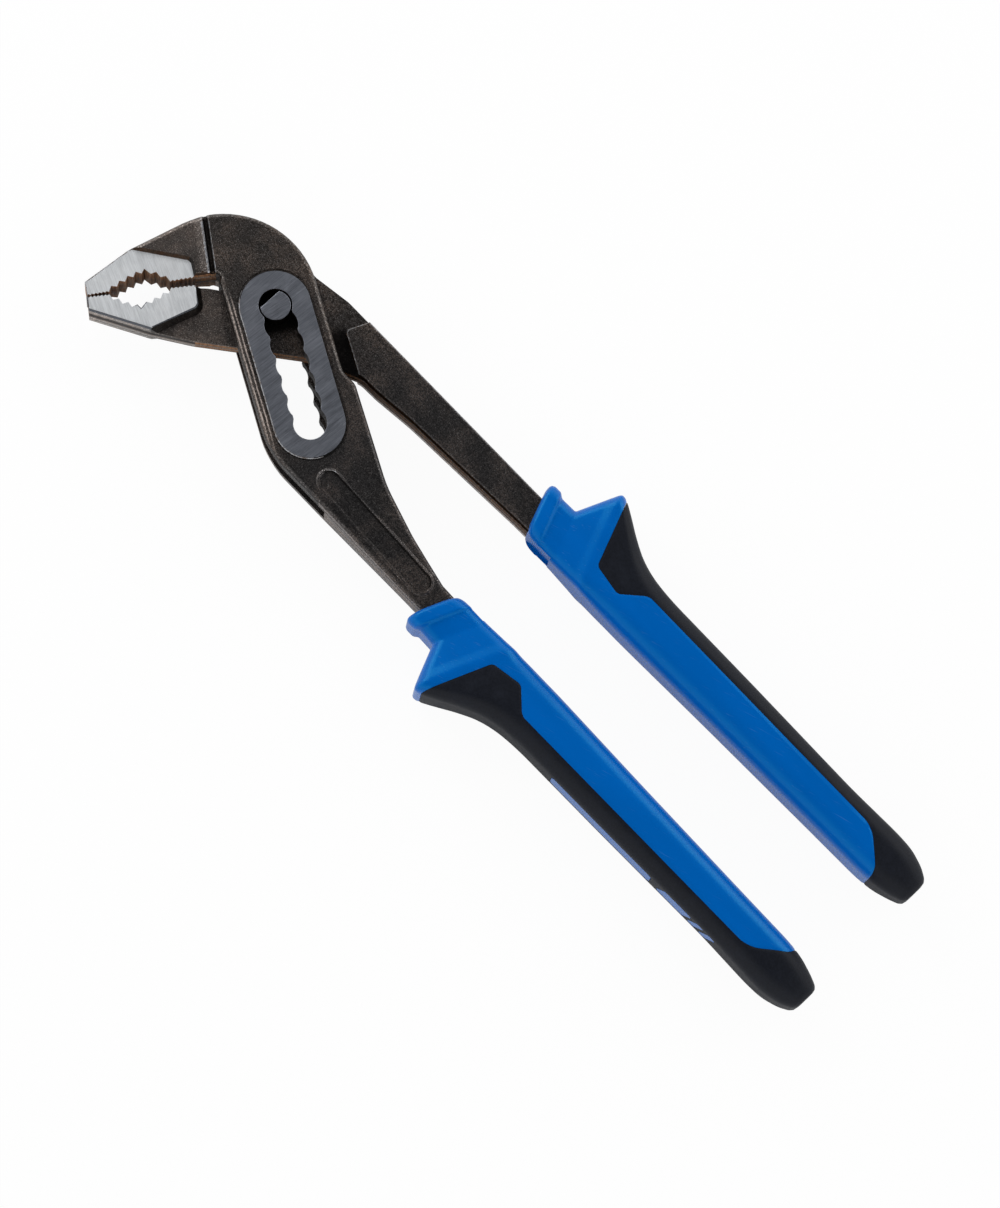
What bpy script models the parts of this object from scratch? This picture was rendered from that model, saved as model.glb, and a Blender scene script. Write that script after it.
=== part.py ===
"""Water pump pliers with a boxed slot joint, lying flat with the jaws towards -X.

Sizes are millimetres, and MM turns them into metres. Outlines are drawn in the plane of the tool
with the pivot pin at (0, 0). Both forgings and both grips are symmetric about that plane.
"""
import math

import bmesh
import bpy
from mathutils import Matrix, Vector

MM = 0.001
GAP = 0.3                        # clearance between pieces that meet
ARC_STEP = math.radians(15)      # longest step of a round stretch

# Pivot pin and the grooved slot it rides in
PIN_RADIUS = 3.85
PIN_FLAT = 2.1                   # from the pin's centre to its flat
PIN_PLAY = 0.35                  # between the pin and a groove
GROOVE_COUNT = 7
GROOVE_PITCH = 5.25
GROOVE_RIDGE = 0.6               # how far the ridges stand in between the grooves
SLOT_ANGLE = math.radians(-27.6)
OPEN_ANGLE = math.radians(64)    # how far the inner arm turns

GROOVE_RADIUS = PIN_RADIUS + PIN_PLAY
SLOT_HALF_WIDTH = GROOVE_RADIUS - GROOVE_RIDGE
TRAVEL = (GROOVE_COUNT - 1) * GROOVE_PITCH

# Half thicknesses of the two forgings
TONGUE_HALF = 2.6
CHEEK = 3.7
RING_RAISE = 0.4
NECK_HALF = 5.8
JAW_HALF = 4.8
SHANK_HALF = 4.6
WINDOW_HALF = TONGUE_HALF + GAP
BOX_HALF = WINDOW_HALF + CHEEK
RING_HALF = BOX_HALF + RING_RAISE
OUTER_EDGE = 1.6                 # rounding of the outer arm's edges
INNER_EDGE = 1.0                 # rounding of the inner arm's edges
TAPER_LENGTH = 32.0              # over which each shank thins down to its tang

# Box of the outer arm, across its slot, and the tongue inside it
RING_WALL = 5.0
BOX_RIM = 2.8
BOX_FLARE = 2.0                  # how much wider the box is behind its step
RING_RADIUS = GROOVE_RADIUS + RING_WALL
BOX_HALF_WIDTH = RING_RADIUS + BOX_RIM
BOX_TOP = -9.5                   # start of the box's straight left edge, along the slot
FLARE_START = TRAVEL - 11.0
FLARE_END = TRAVEL - 7.0
HUB_RADIUS = 13.6                # round end of the tongue, about the pin
WINDOW_RADIUS = HUB_RADIUS + 2 * GAP
WINDOW_END = TRAVEL + 22.0       # along the slot, from the first groove
WINDOW_LEAN = math.radians(12)   # how much steeper the way out is than the opened tongue
SHOULDER = BOX_HALF_WIDTH + BOX_FLARE + 1.4
SHOULDER_START = TRAVEL - 12.2
HEAD_RADIUS = 24.0
HEAD_CENTRE = (-9.0, -9.0)

# Jaws: drawn from the back of the mouth to the tip
JAW_BACK = (-19.2, -9.1)
JAW_ANGLE = math.radians(57.2)
JAW_LENGTH = 27.5
JAW_GAP = 0.35                   # between the tips of the closed jaws
LOWER_TILT = math.radians(-3.5)  # the lower jaw falls away towards the pin
NOSE = (3.2, 2.1)                # from the tip to the upper jaw's nose, back and up
CHIN = (3.2, -2.5)               # from the tip to the lower jaw's chin
BROW = (12.0, 10.0)              # corner on the upper jaw's back, along the jaw and above it
FINE_TEETH = 5
FINE_DEPTH = 0.4
COARSE_TEETH = 7
COARSE_DEPTH = 0.9
ARCH_START = 0.2 * JAW_LENGTH
ARCH_END = 0.764 * JAW_LENGTH
ARCH_DEPTH = 0.124 * JAW_LENGTH
UPPER_APEX = 0.545 * JAW_LENGTH
LOWER_APEX = 0.455 * JAW_LENGTH
TOOTH_LAP = 0.05                 # how far the tooth cutter stays clear of the crests
JAW_CLEAR = 6.0                  # reach of the tooth cutter beyond the jaw
JAW_TIP = (JAW_BACK[0] - JAW_LENGTH * math.cos(JAW_ANGLE), JAW_BACK[1] - JAW_LENGTH * math.sin(JAW_ANGLE))

# Handles: places across the tool are distances from the line midway between the two grips
MIDLINE = -6.0
SHANK_START = 80.0
SHANK_INNER = 12.3
SHANK_OUTER = 21.1
TANG_INNER = 15.0
TANG_OUTER = 20.0
TANG_CORNER = 2.0
GRIP_START = 81.7
GRIP_LENGTH = 133.1
GRIP_END = GRIP_START + GRIP_LENGTH
TANG_END = GRIP_END - 25.0
COLLAR_SLANT = 0.40              # the collar and guard lean back towards the inner side
SLANT_CENTRE = 18.5
SLANT_FULL = 20.0                # distance from the grip's front up to which the lean is full
SLANT_FADE = 20.0
GRIP_HALF = 8.6
COVER_WALL = 2.0
COVER_SHIFT = (0.2, 0.5)         # moves the cover's edge away from the sleeve's
END_CAP = 8.0
BORE_LEAD = 12.0                 # how far the bore's cutter starts in front of the grip
NOTCH_LENGTH = 11.5              # slit in the collar's inner wall, from the grip's front
NOTCH_HALF = 4.9
CORNER_STEPS = 3                 # steps of each rounded corner of a grip's section
LEAST_CORNER = 0.8

# Front part of the grip: distance from its front, inner side, outer side, half thickness, corner
GRIP_FRONT = (
    (0.0, 11.9, 23.8, 6.4, 3.0),
    (1.2, 11.5, 25.2, 7.5, 3.4),
    (3.0, 11.3, 25.4, 7.6, 3.4),
    (4.4, 11.2, 24.6, 7.2, 3.4),
    (8.3, 11.2, 25.1, 6.9, 3.4),
    (16.6, 11.1, 34.2, 8.3, 3.8),
    (20.0, 11.0, 36.0, GRIP_HALF, 4.2),
    (22.4, 11.0, 34.3, GRIP_HALF, 4.4),
    (26.5, 10.9, 30.4, GRIP_HALF, 4.8),
    (31.0, 10.9, 27.6, GRIP_HALF, 5.0),
    (38.0, 10.9, 26.3, GRIP_HALF, 5.0),
    (68.0, 11.6, 26.1, GRIP_HALF, 5.0),
)
# Rear part of the grip: distance to its end, then the same four sizes
GRIP_REAR = (
    (29.0, 12.2, 25.6, GRIP_HALF, 5.0),
    (END_CAP + 5.0, 12.4, 26.0, GRIP_HALF, 5.0),
    (END_CAP, 12.9, 25.8, 8.2, 5.0),
    (3.5, 14.3, 24.4, 6.8, 4.6),
    (1.0, 16.0, 22.2, 5.0, 3.0),
    (0.0, 17.4, 20.4, 3.0, 1.4),
)
GUARD_TIP = max(row[2] for row in GRIP_FRONT)
# Edge of the black cover: place along the tool, distance from the midline, corner radius
COVER_EDGE = (
    (94.8, 37.0, 0.0),
    (102.4, 18.2, 2.0),
    (111.0, 16.6, 2.0),
    (116.8, 22.0, 3.0),
    (GRIP_END - 19.0, 21.6, 8.0),
    (GRIP_END - 10.6, 14.5, 4.0),
    (GRIP_END - 10.0, 8.0, 0.0),
)
# Rest of the block that holds the cover, clear of the grip
COVER_BLOCK = ((GRIP_END + 9.0, 8.0), (GRIP_END + 9.0, GUARD_TIP + 8.0), (93.0, GUARD_TIP + 8.0))
# Blue stripes that show through the cover's back: distances to the grip's end, lean of the ends
STRIPES = ((82.0, 47.5, 0.0), (44.0, 34.5, 1.5), (33.0, 30.6, 1.5), (29.0, 26.6, 1.5))
STRIPE_HALF = 3.0
STRIPE_CORNER = 1.2

# The origin is under the middle of the whole tool
TOOL_START = JAW_TIP[0] - NOSE[0]
PIN_PLACE = Vector((-(TOOL_START + GRIP_END) / 2, -MIDLINE, GRIP_HALF)) * MM


def slot_point(along, aside):
    """Point from its place along the slot and to the side of it."""
    cosine, sine = math.cos(SLOT_ANGLE), math.sin(SLOT_ANGLE)
    return (along * cosine - aside * sine, along * sine + aside * cosine)


def jaw_point(along, above, tilt=0.0, drop=0.0):
    """Point from its place along a jaw, from the tip, and above its tooth line."""
    cosine, sine = math.cos(JAW_ANGLE + tilt), math.sin(JAW_ANGLE + tilt)
    x = JAW_TIP[0] + drop * math.sin(JAW_ANGLE)
    y = JAW_TIP[1] - drop * math.cos(JAW_ANGLE)
    return (x + along * cosine - above * sine, y + along * sine + above * cosine)


def lower_point(along, above):
    """Point on the lower jaw."""
    return jaw_point(along, above, LOWER_TILT, JAW_GAP)


def across(side, distance):
    """Place across the tool for a distance from the midline, on the inner (1) or outer (-1) arm."""
    return MIDLINE + side * distance


def arc(centre, radius, start, end, steps=None):
    """Points of an arc, angles in degrees."""
    turn = math.radians(end - start)
    steps = steps or max(1, math.ceil(abs(turn) / ARC_STEP))
    angles = [math.radians(start) + turn * i / steps for i in range(steps + 1)]
    return [(centre[0] + radius * math.cos(a), centre[1] + radius * math.sin(a)) for a in angles]


def rounded(corners):
    """Outline through corners; a third number is the radius of that corner's fillet."""
    points = []
    for i, corner in enumerate(corners):
        here = Vector(corner[:2])
        if len(corner) == 2 or corner[2] == 0:
            points.append(tuple(here))
            continue
        to_last = Vector(corners[i - 1][:2]) - here
        to_next = Vector(corners[(i + 1) % len(corners)][:2]) - here
        half = to_last.angle(to_next) / 2
        reach = min(corner[2] / math.tan(half), 0.45 * to_last.length, 0.45 * to_next.length)
        radius = reach * math.tan(half)
        first = here + to_last.normalized() * reach
        last = here + to_next.normalized() * reach
        inward = (to_last.normalized() + to_next.normalized()).normalized()
        middle = here + inward * radius / math.sin(half)
        begin = math.atan2(first.y - middle.y, first.x - middle.x)
        turn = math.remainder(math.atan2(last.y - middle.y, last.x - middle.x) - begin, math.tau)
        points += arc(middle, radius, math.degrees(begin), math.degrees(begin + turn))
    return points


def settle(mesh):
    """Weld a mesh and turn its faces outwards."""
    bm = bmesh.new()
    bm.from_mesh(mesh)
    bmesh.ops.remove_doubles(bm, verts=bm.verts, dist=0.001 * MM)
    bmesh.ops.recalc_face_normals(bm, faces=bm.faces)
    bm.to_mesh(mesh)
    bm.free()


def place(name, mesh, collection):
    """Object for a mesh, with its origin on the pin's axis."""
    thing = bpy.data.objects.new(name, mesh)
    collection.objects.link(thing)
    if collection is cutters:
        thing.hide_render = True
        thing.display_type = "WIRE"
    thing.parent = pin_axis
    return thing


def prism(name, outline, low, high, edge=0.0, collection=None):
    """Solid of a flat outline between two heights, with its rims rounded by edge."""
    curve = bpy.data.curves.new(name, "CURVE")
    curve.dimensions = "2D"
    curve.fill_mode = "BOTH"
    curve.extrude = ((high - low) / 2 - edge) * MM
    curve.bevel_depth = edge * MM
    curve.bevel_resolution = 1
    curve.offset = -edge * MM
    spline = curve.splines.new("POLY")
    spline.points.add(len(outline) - 1)
    for point, (x, y) in zip(spline.points, outline):
        point.co = (x * MM, y * MM, 0, 1)
    spline.use_cyclic_u = True
    drawn = bpy.data.objects.new(name, curve)
    bpy.context.scene.collection.objects.link(drawn)
    graph = bpy.context.evaluated_depsgraph_get()
    mesh = bpy.data.meshes.new_from_object(drawn.evaluated_get(graph))
    bpy.data.objects.remove(drawn)
    bpy.data.curves.remove(curve)
    mesh.transform(Matrix.Translation((0, 0, (low + high) / 2 * MM)))
    settle(mesh)
    return place(name, mesh, collection or cutters)


def side_prism(name, outlines, low, high):
    """Solids of outlines drawn in length and height, between two places across the tool."""
    bm = bmesh.new()
    for outline in outlines:
        body = prism(name, outline, low, high)
        bm.from_mesh(body.data)
        bpy.data.objects.remove(body)
    swap = Matrix(((1, 0, 0), (0, 0, 1), (0, 1, 0)))
    bmesh.ops.transform(bm, verts=bm.verts, matrix=swap.to_4x4())
    mesh = bpy.data.meshes.new(name)
    bm.to_mesh(mesh)
    bm.free()
    settle(mesh)
    return place(name, mesh, cutters)


def both_sides(name, outline, half):
    """Cutters above and below the tool that leave the outline with a half thickness."""
    top = 2 * BOX_HALF
    return prism(name + "_top", outline, half, top), prism(name + "_bottom", outline, -top, -half)


def shank_taper(name, full):
    """Cutter that thins a shank from its full half thickness down to its tang."""
    end = SHANK_START - 4.0
    start = end - TAPER_LENGTH
    top = 3 * BOX_HALF
    above = [(start, full), (end, SHANK_HALF), (GRIP_END, SHANK_HALF), (GRIP_END, top), (start, top)]
    below = [(x, -z) for x, z in above]
    return side_prism(name, (above, below), -2 * GUARD_TIP, 2 * GUARD_TIP)


def combine(target, operation, *tools):
    """Boolean of a target with each tool in turn: DIFFERENCE, UNION or INTERSECT."""
    for tool in tools:
        modifier = target.modifiers.new(tool.name, "BOOLEAN")
        modifier.operation = operation
        modifier.object = tool
        modifier.solver = "EXACT"


def finish(thing, name, colour, roughness, metallic):
    """Give a part its own material, and smooth shading on its round stretches."""
    material = bpy.data.materials.new(name)
    material.use_nodes = True
    shader = material.node_tree.nodes["Principled BSDF"]
    shader.inputs["Base Color"].default_value = (*colour, 1)
    shader.inputs["Roughness"].default_value = roughness
    shader.inputs["Metallic"].default_value = metallic
    thing.data.materials.clear()
    thing.data.materials.append(material)
    thing.data.shade_smooth()
    thing.data.set_sharp_from_angle(angle=math.radians(30))


def tooth_line(point, apex, sign):
    """Tooth line of a jaw: fine teeth, coarse teeth along an arch, fine teeth."""
    def arch(along):
        rise = (along - ARCH_START) / (apex - ARCH_START)
        fall = (ARCH_END - along) / (ARCH_END - apex)
        return ARCH_DEPTH * max(0.0, min(rise, fall))

    rows = ((0.0, ARCH_START, FINE_TEETH, FINE_DEPTH),
            (ARCH_START, ARCH_END, COARSE_TEETH, COARSE_DEPTH),
            (ARCH_END, JAW_LENGTH, FINE_TEETH, FINE_DEPTH))
    line = [point(0.0, -sign * TOOTH_LAP)]
    for start, end, count, depth in rows:
        pitch = (end - start) / count
        for i in range(count):
            root = start + (i + 0.5) * pitch
            crest = start + (i + 1) * pitch
            line.append(point(root, sign * (arch(root) + depth)))
            line.append(point(crest, sign * (arch(crest) - TOOTH_LAP)))
    return line


def tooth_cutter(name, point, apex, sign):
    """Cutter that leaves a jaw with its teeth; sign is 1 on the upper jaw and -1 on the lower."""
    last = JAW_LENGTH + TOOTH_LAP
    front = [point(-JAW_CLEAR, -sign * JAW_CLEAR), point(-JAW_CLEAR, -sign * TOOTH_LAP)]
    back = [point(last, -sign * TOOTH_LAP), point(last, -sign * JAW_CLEAR)]
    return prism(name, front + tooth_line(point, apex, sign) + back, -BOX_HALF, BOX_HALF)


def slot_outline():
    """Slot made of round grooves joined by a narrower straight passage."""
    reach = math.degrees(math.asin(SLOT_HALF_WIDTH / GROOVE_RADIUS))
    turned = math.degrees(SLOT_ANGLE)
    last = GROOVE_COUNT - 1
    points = []
    for i in range(GROOVE_COUNT):
        start = 180 if i == 0 else 180 - reach
        end = 0 if i == last else reach
        points += arc(slot_point(i * GROOVE_PITCH, 0), GROOVE_RADIUS, turned + start, turned + end)
    for i in reversed(range(GROOVE_COUNT)):
        start = 0 if i == last else -reach
        end = -180 if i == 0 else reach - 180
        points += arc(slot_point(i * GROOVE_PITCH, 0), GROOVE_RADIUS, turned + start, turned + end)
    return points


def ring_outline():
    """Stadium of the ground ring round the slot."""
    turned = math.degrees(SLOT_ANGLE)
    first = arc(slot_point(0, 0), RING_RADIUS, turned + 90, turned + 270)
    return first + arc(slot_point(TRAVEL, 0), RING_RADIUS, turned - 90, turned + 90)


def window_outline():
    """Passage between the cheeks, with room for the tongue at every setting and angle."""
    leave = math.degrees(OPEN_ANGLE) + 96
    pocket = arc((0, 0), WINDOW_RADIUS, 203, leave)
    lean = OPEN_ANGLE + WINDOW_LEAN
    way_out = HEAD_RADIUS
    top = (pocket[-1][0] + way_out * math.cos(lean), pocket[-1][1] + way_out * math.sin(lean))
    side = BOX_HALF_WIDTH + 14.0
    corners = [slot_point(4, side + 4), slot_point(WINDOW_END, side), slot_point(WINDOW_END, -side)]
    return pocket + [top] + corners + [slot_point(-12, -side)]


def shank_end(side, clear=0.0, start=SHANK_START):
    """Corners of the shank and tang inside a grip, from the inner edge round to the outer edge."""
    end = TANG_END + clear
    return [(start, across(side, SHANK_INNER - clear)),
            (end, across(side, TANG_INNER - clear), TANG_CORNER),
            (end, across(side, TANG_OUTER + clear), TANG_CORNER),
            (start, across(side, SHANK_OUTER + clear))]


def build_outer_arm():
    """Upper jaw, slotted box, shank and tang in one forging."""
    head = arc(HEAD_CENTRE, HEAD_RADIUS, 163, 63)
    flared = BOX_HALF_WIDTH + BOX_FLARE
    bottom = across(-1, SHANK_OUTER)
    bend = (bottom + BOX_HALF_WIDTH * math.cos(SLOT_ANGLE)) / math.sin(SLOT_ANGLE)
    corners = [jaw_point(0, 0), (TOOL_START, JAW_TIP[1] + NOSE[1]), jaw_point(*BROW) + (4.0,)]
    corners += head
    corners += [slot_point(FLARE_START, BOX_HALF_WIDTH) + (3.0,), slot_point(FLARE_END, flared) + (3.0,),
                slot_point(TRAVEL + 20.0, flared + 0.4) + (30.0,), (66.0, -15.2, 30.0)]
    corners += shank_end(-1)
    corners += [slot_point(bend, -BOX_HALF_WIDTH) + (24.0,), slot_point(BOX_TOP, -BOX_HALF_WIDTH) + (2.0,),
                (-15.6, -4.4, 1.5), jaw_point(JAW_LENGTH, 0)]
    arm = prism("outer_arm", rounded(corners), -BOX_HALF, BOX_HALF, OUTER_EDGE, parts)

    edge = 0.2 - BOX_HALF_WIDTH
    neck = [slot_point(-70, edge), slot_point(BOX_TOP + 0.3, edge), slot_point(BOX_TOP + 0.3, -60),
            slot_point(-70, -60)]
    face = rounded([(-60, -60), (-60, -16.0), (-36.5, -16.2), (-24.4, -7.3, 2.0), (-18.6, -9.8), (-10, -40)])
    combine(arm, "DIFFERENCE", *both_sides("neck_step", neck, NECK_HALF))
    combine(arm, "DIFFERENCE", *both_sides("upper_jaw_face", face, JAW_HALF))
    combine(arm, "DIFFERENCE", shank_taper("outer_taper", BOX_HALF))
    combine(arm, "UNION", prism("slot_ring", ring_outline(), -RING_HALF, RING_HALF))
    combine(arm, "DIFFERENCE", prism("slot", slot_outline(), -2 * BOX_HALF, 2 * BOX_HALF))
    combine(arm, "DIFFERENCE", prism("window", window_outline(), -WINDOW_HALF, WINDOW_HALF))
    combine(arm, "DIFFERENCE", tooth_cutter("upper_teeth", jaw_point, UPPER_APEX, 1))
    finish(arm, "forged_steel_outer", (0.028, 0.024, 0.022), 0.5, 0.9)


def build_inner_arm():
    """Lower jaw, tongue, shank and tang in one forging."""
    hub = arc((0, 0), HUB_RADIUS, 206, 86)
    corners = [lower_point(0, 0), lower_point(JAW_LENGTH, 0), (-14.4, -7.6, 1.5)]
    corners += hub
    corners += [(11.1, across(1, SHANK_OUTER), 8.0)]
    corners += reversed(shank_end(1))
    corners += [(44.0, 4.8, 20.0), slot_point(SHOULDER_START, SHOULDER) + (3.0,), (14.4, -2.7, 12.0),
                (-7.9, -20.7, 12.0), (-17.2, -27.0, 8.0), (JAW_TIP[0] + CHIN[0], JAW_TIP[1] + CHIN[1])]
    arm = prism("inner_arm", rounded(corners), -JAW_HALF, JAW_HALF, INNER_EDGE, parts)

    pad = slot_point(-5.4, -BOX_HALF_WIDTH - 6.4)
    tongue = rounded([lower_point(JAW_LENGTH + 0.8, 4.0), pad + (1.2,), (-17.4, -27.0), (-18.4, -32.0),
                      slot_point(TRAVEL, -4.0), slot_point(TRAVEL - 4.0, SHOULDER),
                      slot_point(10.2, SHOULDER) + (1.2,), (18.9, 15.2), (20.0, 20.0), (-20.0, 20.0)])
    hole = arc((0, 0), PIN_RADIUS + GAP, 0, 360)[:-1]
    combine(arm, "DIFFERENCE", *both_sides("tongue_step", tongue, TONGUE_HALF))
    combine(arm, "DIFFERENCE", shank_taper("inner_taper", JAW_HALF))
    combine(arm, "DIFFERENCE", prism("pin_hole", hole, -BOX_HALF, BOX_HALF))
    combine(arm, "DIFFERENCE", tooth_cutter("lower_teeth", lower_point, LOWER_APEX, -1))
    finish(arm, "forged_steel_inner", (0.028, 0.024, 0.022), 0.5, 0.9)


def build_pivot_pin():
    """Round pin with a flat on each end, where it runs in the slot."""
    bpy.ops.mesh.primitive_cylinder_add(vertices=32, radius=PIN_RADIUS * MM, depth=2 * RING_HALF * MM)
    turned = bpy.context.object
    pin = place("pivot_pin", turned.data, parts)
    bpy.data.objects.remove(turned)
    reach = 2 * PIN_RADIUS
    flat = [(-reach, -reach), (-PIN_FLAT, -reach), (-PIN_FLAT, reach), (-reach, reach)]
    combine(pin, "DIFFERENCE", *both_sides("pin_flat", flat, WINDOW_HALF))
    finish(pin, "ground_steel", (0.16, 0.165, 0.18), 0.35, 1.0)


def grip_section(row, inset):
    """Corner points of one section of a grip, as place along, distance from the midline, height."""
    distance, inner, outer, half, corner = row
    corner = max(corner - inset, LEAST_CORNER)
    low, high = inner + inset + corner, outer - inset - corner
    top = half - inset - corner
    fade = min(1.0, max(0.0, (SLANT_FULL + SLANT_FADE - distance) / SLANT_FADE))
    for quarter, centre in enumerate(((high, top), (low, top), (low, -top), (high, -top))):
        for w, z in arc(centre, corner, 90 * quarter, 90 * quarter + 90, CORNER_STEPS):
            yield GRIP_START + distance - COLLAR_SLANT * fade * (w - SLANT_CENTRE), w, z


def grip_body(name, side, inset=0.0, collection=None):
    """Loft through a grip's sections, each drawn in by inset; an inset body stops at the end cap."""
    rows = list(GRIP_FRONT) + [(GRIP_LENGTH - row[0],) + row[1:] for row in GRIP_REAR]
    if inset:
        rows = [row for row in rows if row[0] <= GRIP_LENGTH - END_CAP]
    bm = bmesh.new()
    rings = []
    for row in rows:
        places = [Vector((x, across(side, w), z)) * MM for x, w, z in grip_section(row, inset)]
        rings.append([bm.verts.new(place_on) for place_on in places])
    count = len(rings[0])
    for one, other in zip(rings, rings[1:]):
        for i in range(count):
            j = (i + 1) % count
            bm.faces.new((one[i], one[j], other[j], other[i]))
    bm.faces.new(rings[0])
    bm.faces.new(rings[-1])
    mesh = bpy.data.meshes.new(name)
    bm.to_mesh(mesh)
    bm.free()
    settle(mesh)
    return place(name, mesh, collection or cutters)


def cover_block(name, side, shift):
    """Block that holds the black cover, moved away from the sleeve by shift."""
    outline = rounded(COVER_BLOCK + COVER_EDGE)
    moved = [(x + shift[0], across(side, w + shift[1])) for x, w in outline]
    return prism(name, moved, -2 * GRIP_HALF, 2 * GRIP_HALF)


def stripe_blocks(name, side, grow):
    """Blocks of the blue stripes on the grip's back, each grown by grow."""
    half = STRIPE_HALF + grow
    outlines = []
    for start, end, lean in STRIPES:
        low = GRIP_END - start - grow
        high = GRIP_END - end + grow
        corners = [(low - lean, -half), (high - lean, -half), (high + lean, half), (low + lean, half)]
        outlines.append(rounded([corner + (STRIPE_CORNER,) for corner in corners]))
    places = sorted((across(side, SHANK_OUTER), across(side, GUARD_TIP)))
    return side_prism(name, outlines, *places)


def build_grip(label, side):
    """Blue sleeve with a collar and guard, and the black cover moulded over its back and end."""
    sleeve = grip_body(label + "_grip_sleeve", side, collection=parts)
    hollow = cover_block(label + "_cover_room", side, (0, 0))
    combine(hollow, "DIFFERENCE", grip_body(label + "_core", side, COVER_WALL + GAP),
            stripe_blocks(label + "_stripes", side, 0))
    bore = prism(label + "_bore", rounded(shank_end(side, GAP, SHANK_START - BORE_LEAD)),
                 -SHANK_HALF - GAP, SHANK_HALF + GAP)
    wall = across(side, SHANK_INNER)
    slit_start, slit_end = GRIP_START - BORE_LEAD, GRIP_START + NOTCH_LENGTH
    slit = [(slit_start, MIDLINE), (slit_start, wall), (slit_end, wall), (slit_end, MIDLINE)]
    combine(sleeve, "DIFFERENCE", hollow, bore, prism(label + "_notch", slit, -NOTCH_HALF, NOTCH_HALF))
    finish(sleeve, label + "_blue_plastic", (0.0, 0.09, 0.43), 0.38, 0.0)

    cover = grip_body(label + "_grip_cover", side, collection=parts)
    combine(cover, "INTERSECT", cover_block(label + "_cover_edge", side, COVER_SHIFT))
    combine(cover, "DIFFERENCE", grip_body(label + "_cover_inside", side, COVER_WALL),
            stripe_blocks(label + "_stripe_windows", side, GAP))
    finish(cover, label + "_black_rubber", (0.012, 0.012, 0.014), 0.6, 0.0)


for old in list(bpy.data.objects):
    bpy.data.objects.remove(old)
parts = bpy.data.collections.new("water_pump_pliers")
cutters = bpy.data.collections.new("cutters")
for group in (parts, cutters):
    bpy.context.scene.collection.children.link(group)
pin_axis = bpy.data.objects.new("pin_axis", None)
pin_axis.location = PIN_PLACE
parts.objects.link(pin_axis)

build_outer_arm()
build_inner_arm()
build_pivot_pin()
build_grip("outer", -1)
build_grip("inner", 1)
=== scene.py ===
"""Visible pieces of a pair of water pump pliers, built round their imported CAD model.

Shapes are drawn in millimetres with the pivot pin at the origin, and set_out() moves each one into
the CAD model's frame, in metres.
"""
import math
from collections import namedtuple

import bmesh
import bpy
from bpy.props import FloatProperty, FloatVectorProperty, PointerProperty
from mathutils import Matrix, Vector


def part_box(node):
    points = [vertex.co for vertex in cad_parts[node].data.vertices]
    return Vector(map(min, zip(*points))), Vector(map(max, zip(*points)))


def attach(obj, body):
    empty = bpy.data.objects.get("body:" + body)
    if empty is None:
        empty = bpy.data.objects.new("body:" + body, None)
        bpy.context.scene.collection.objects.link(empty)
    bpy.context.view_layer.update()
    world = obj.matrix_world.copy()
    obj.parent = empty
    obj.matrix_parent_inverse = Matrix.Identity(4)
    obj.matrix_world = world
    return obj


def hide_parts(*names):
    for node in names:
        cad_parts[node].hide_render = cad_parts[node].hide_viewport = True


bl_info = {
    "name": "Water Pump Pliers",
    "version": (1, 0, 0),
    "blender": (4, 5, 0),
    "location": "View3D > Sidebar > Pliers",
    "description": "Builds the visible pieces of a pair of water pump pliers on their CAD frame",
    "category": "Object",
}

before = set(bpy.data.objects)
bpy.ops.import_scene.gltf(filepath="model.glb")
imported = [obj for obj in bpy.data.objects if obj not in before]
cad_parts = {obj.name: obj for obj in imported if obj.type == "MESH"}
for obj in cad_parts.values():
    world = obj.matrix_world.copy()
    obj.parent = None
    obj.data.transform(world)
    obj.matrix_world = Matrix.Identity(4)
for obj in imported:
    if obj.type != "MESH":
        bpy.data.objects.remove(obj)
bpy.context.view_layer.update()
PIN_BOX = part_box("pivot_pin")
PIN_PLACE = (PIN_BOX[0] + PIN_BOX[1]) / 2

MM = 0.001
GAP = 0.3
ARC_STEP = math.radians(5)
RIM_STEPS = 5
FILLET_SHARE = 0.45              # longest share of a side that a fillet takes
EASED_ANGLE = math.radians(40)   # edges sharper than this are rounded
SMOOTH_ANGLE = math.radians(32)  # edges sharper than this are shaded sharp
THROUGH = 14.0                   # half height of a cutter that goes right through a piece
CLEAR = 8.0                      # height of a block that stands well out of a piece
MERGE = 1e-4                     # corners this close together are one

# Pivot pin and the grooved slot
PIN_RADIUS = 3.85
PIN_FLAT = 2.1
GROOVE_COUNT = 7
GROOVE_PITCH = 5.25
GROOVE_RADIUS = 4.2
SLOT_HALF_WIDTH = 3.6
SLOT_TURN = -27.6
TRAVEL = (GROOVE_COUNT - 1) * GROOVE_PITCH

# Half thicknesses of the forgings
TONGUE_HALF = 2.6
WINDOW_HALF = 2.9
BOX_HALF = 6.6
RING_HALF = 7.0
NECK_HALF = 5.8
JAW_HALF = 4.8
SHANK_HALF = 4.6
PIN_HALF = RING_HALF - 0.1
TAPER = (44.0, 76.0)
TAPER_EASE = 3.0

# Sides of the forgings: parting ridge's half height, die lines' heights and step
RIDGE_HALF = 0.35
OUTER_LINE, INNER_LINE = 3.3, 1.9
LINE_STEP, LINE_RISE = 0.14, 0.3

# Box, window and shoulder
RING_RADIUS = 9.2
BOX_SIDE = 12.0
FLARED_SIDE = 14.0
FLARE = (TRAVEL - 11.0, TRAVEL - 7.0)
HUB_RADIUS = 13.6
WINDOW_RADIUS = 14.2
WINDOW_EDGE = 160                # angle at which the window leaves its round end
SHOULDER_SIDE = 15.4
NECK_TURN, NECK_LINE = -35.3, -13.4
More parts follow.
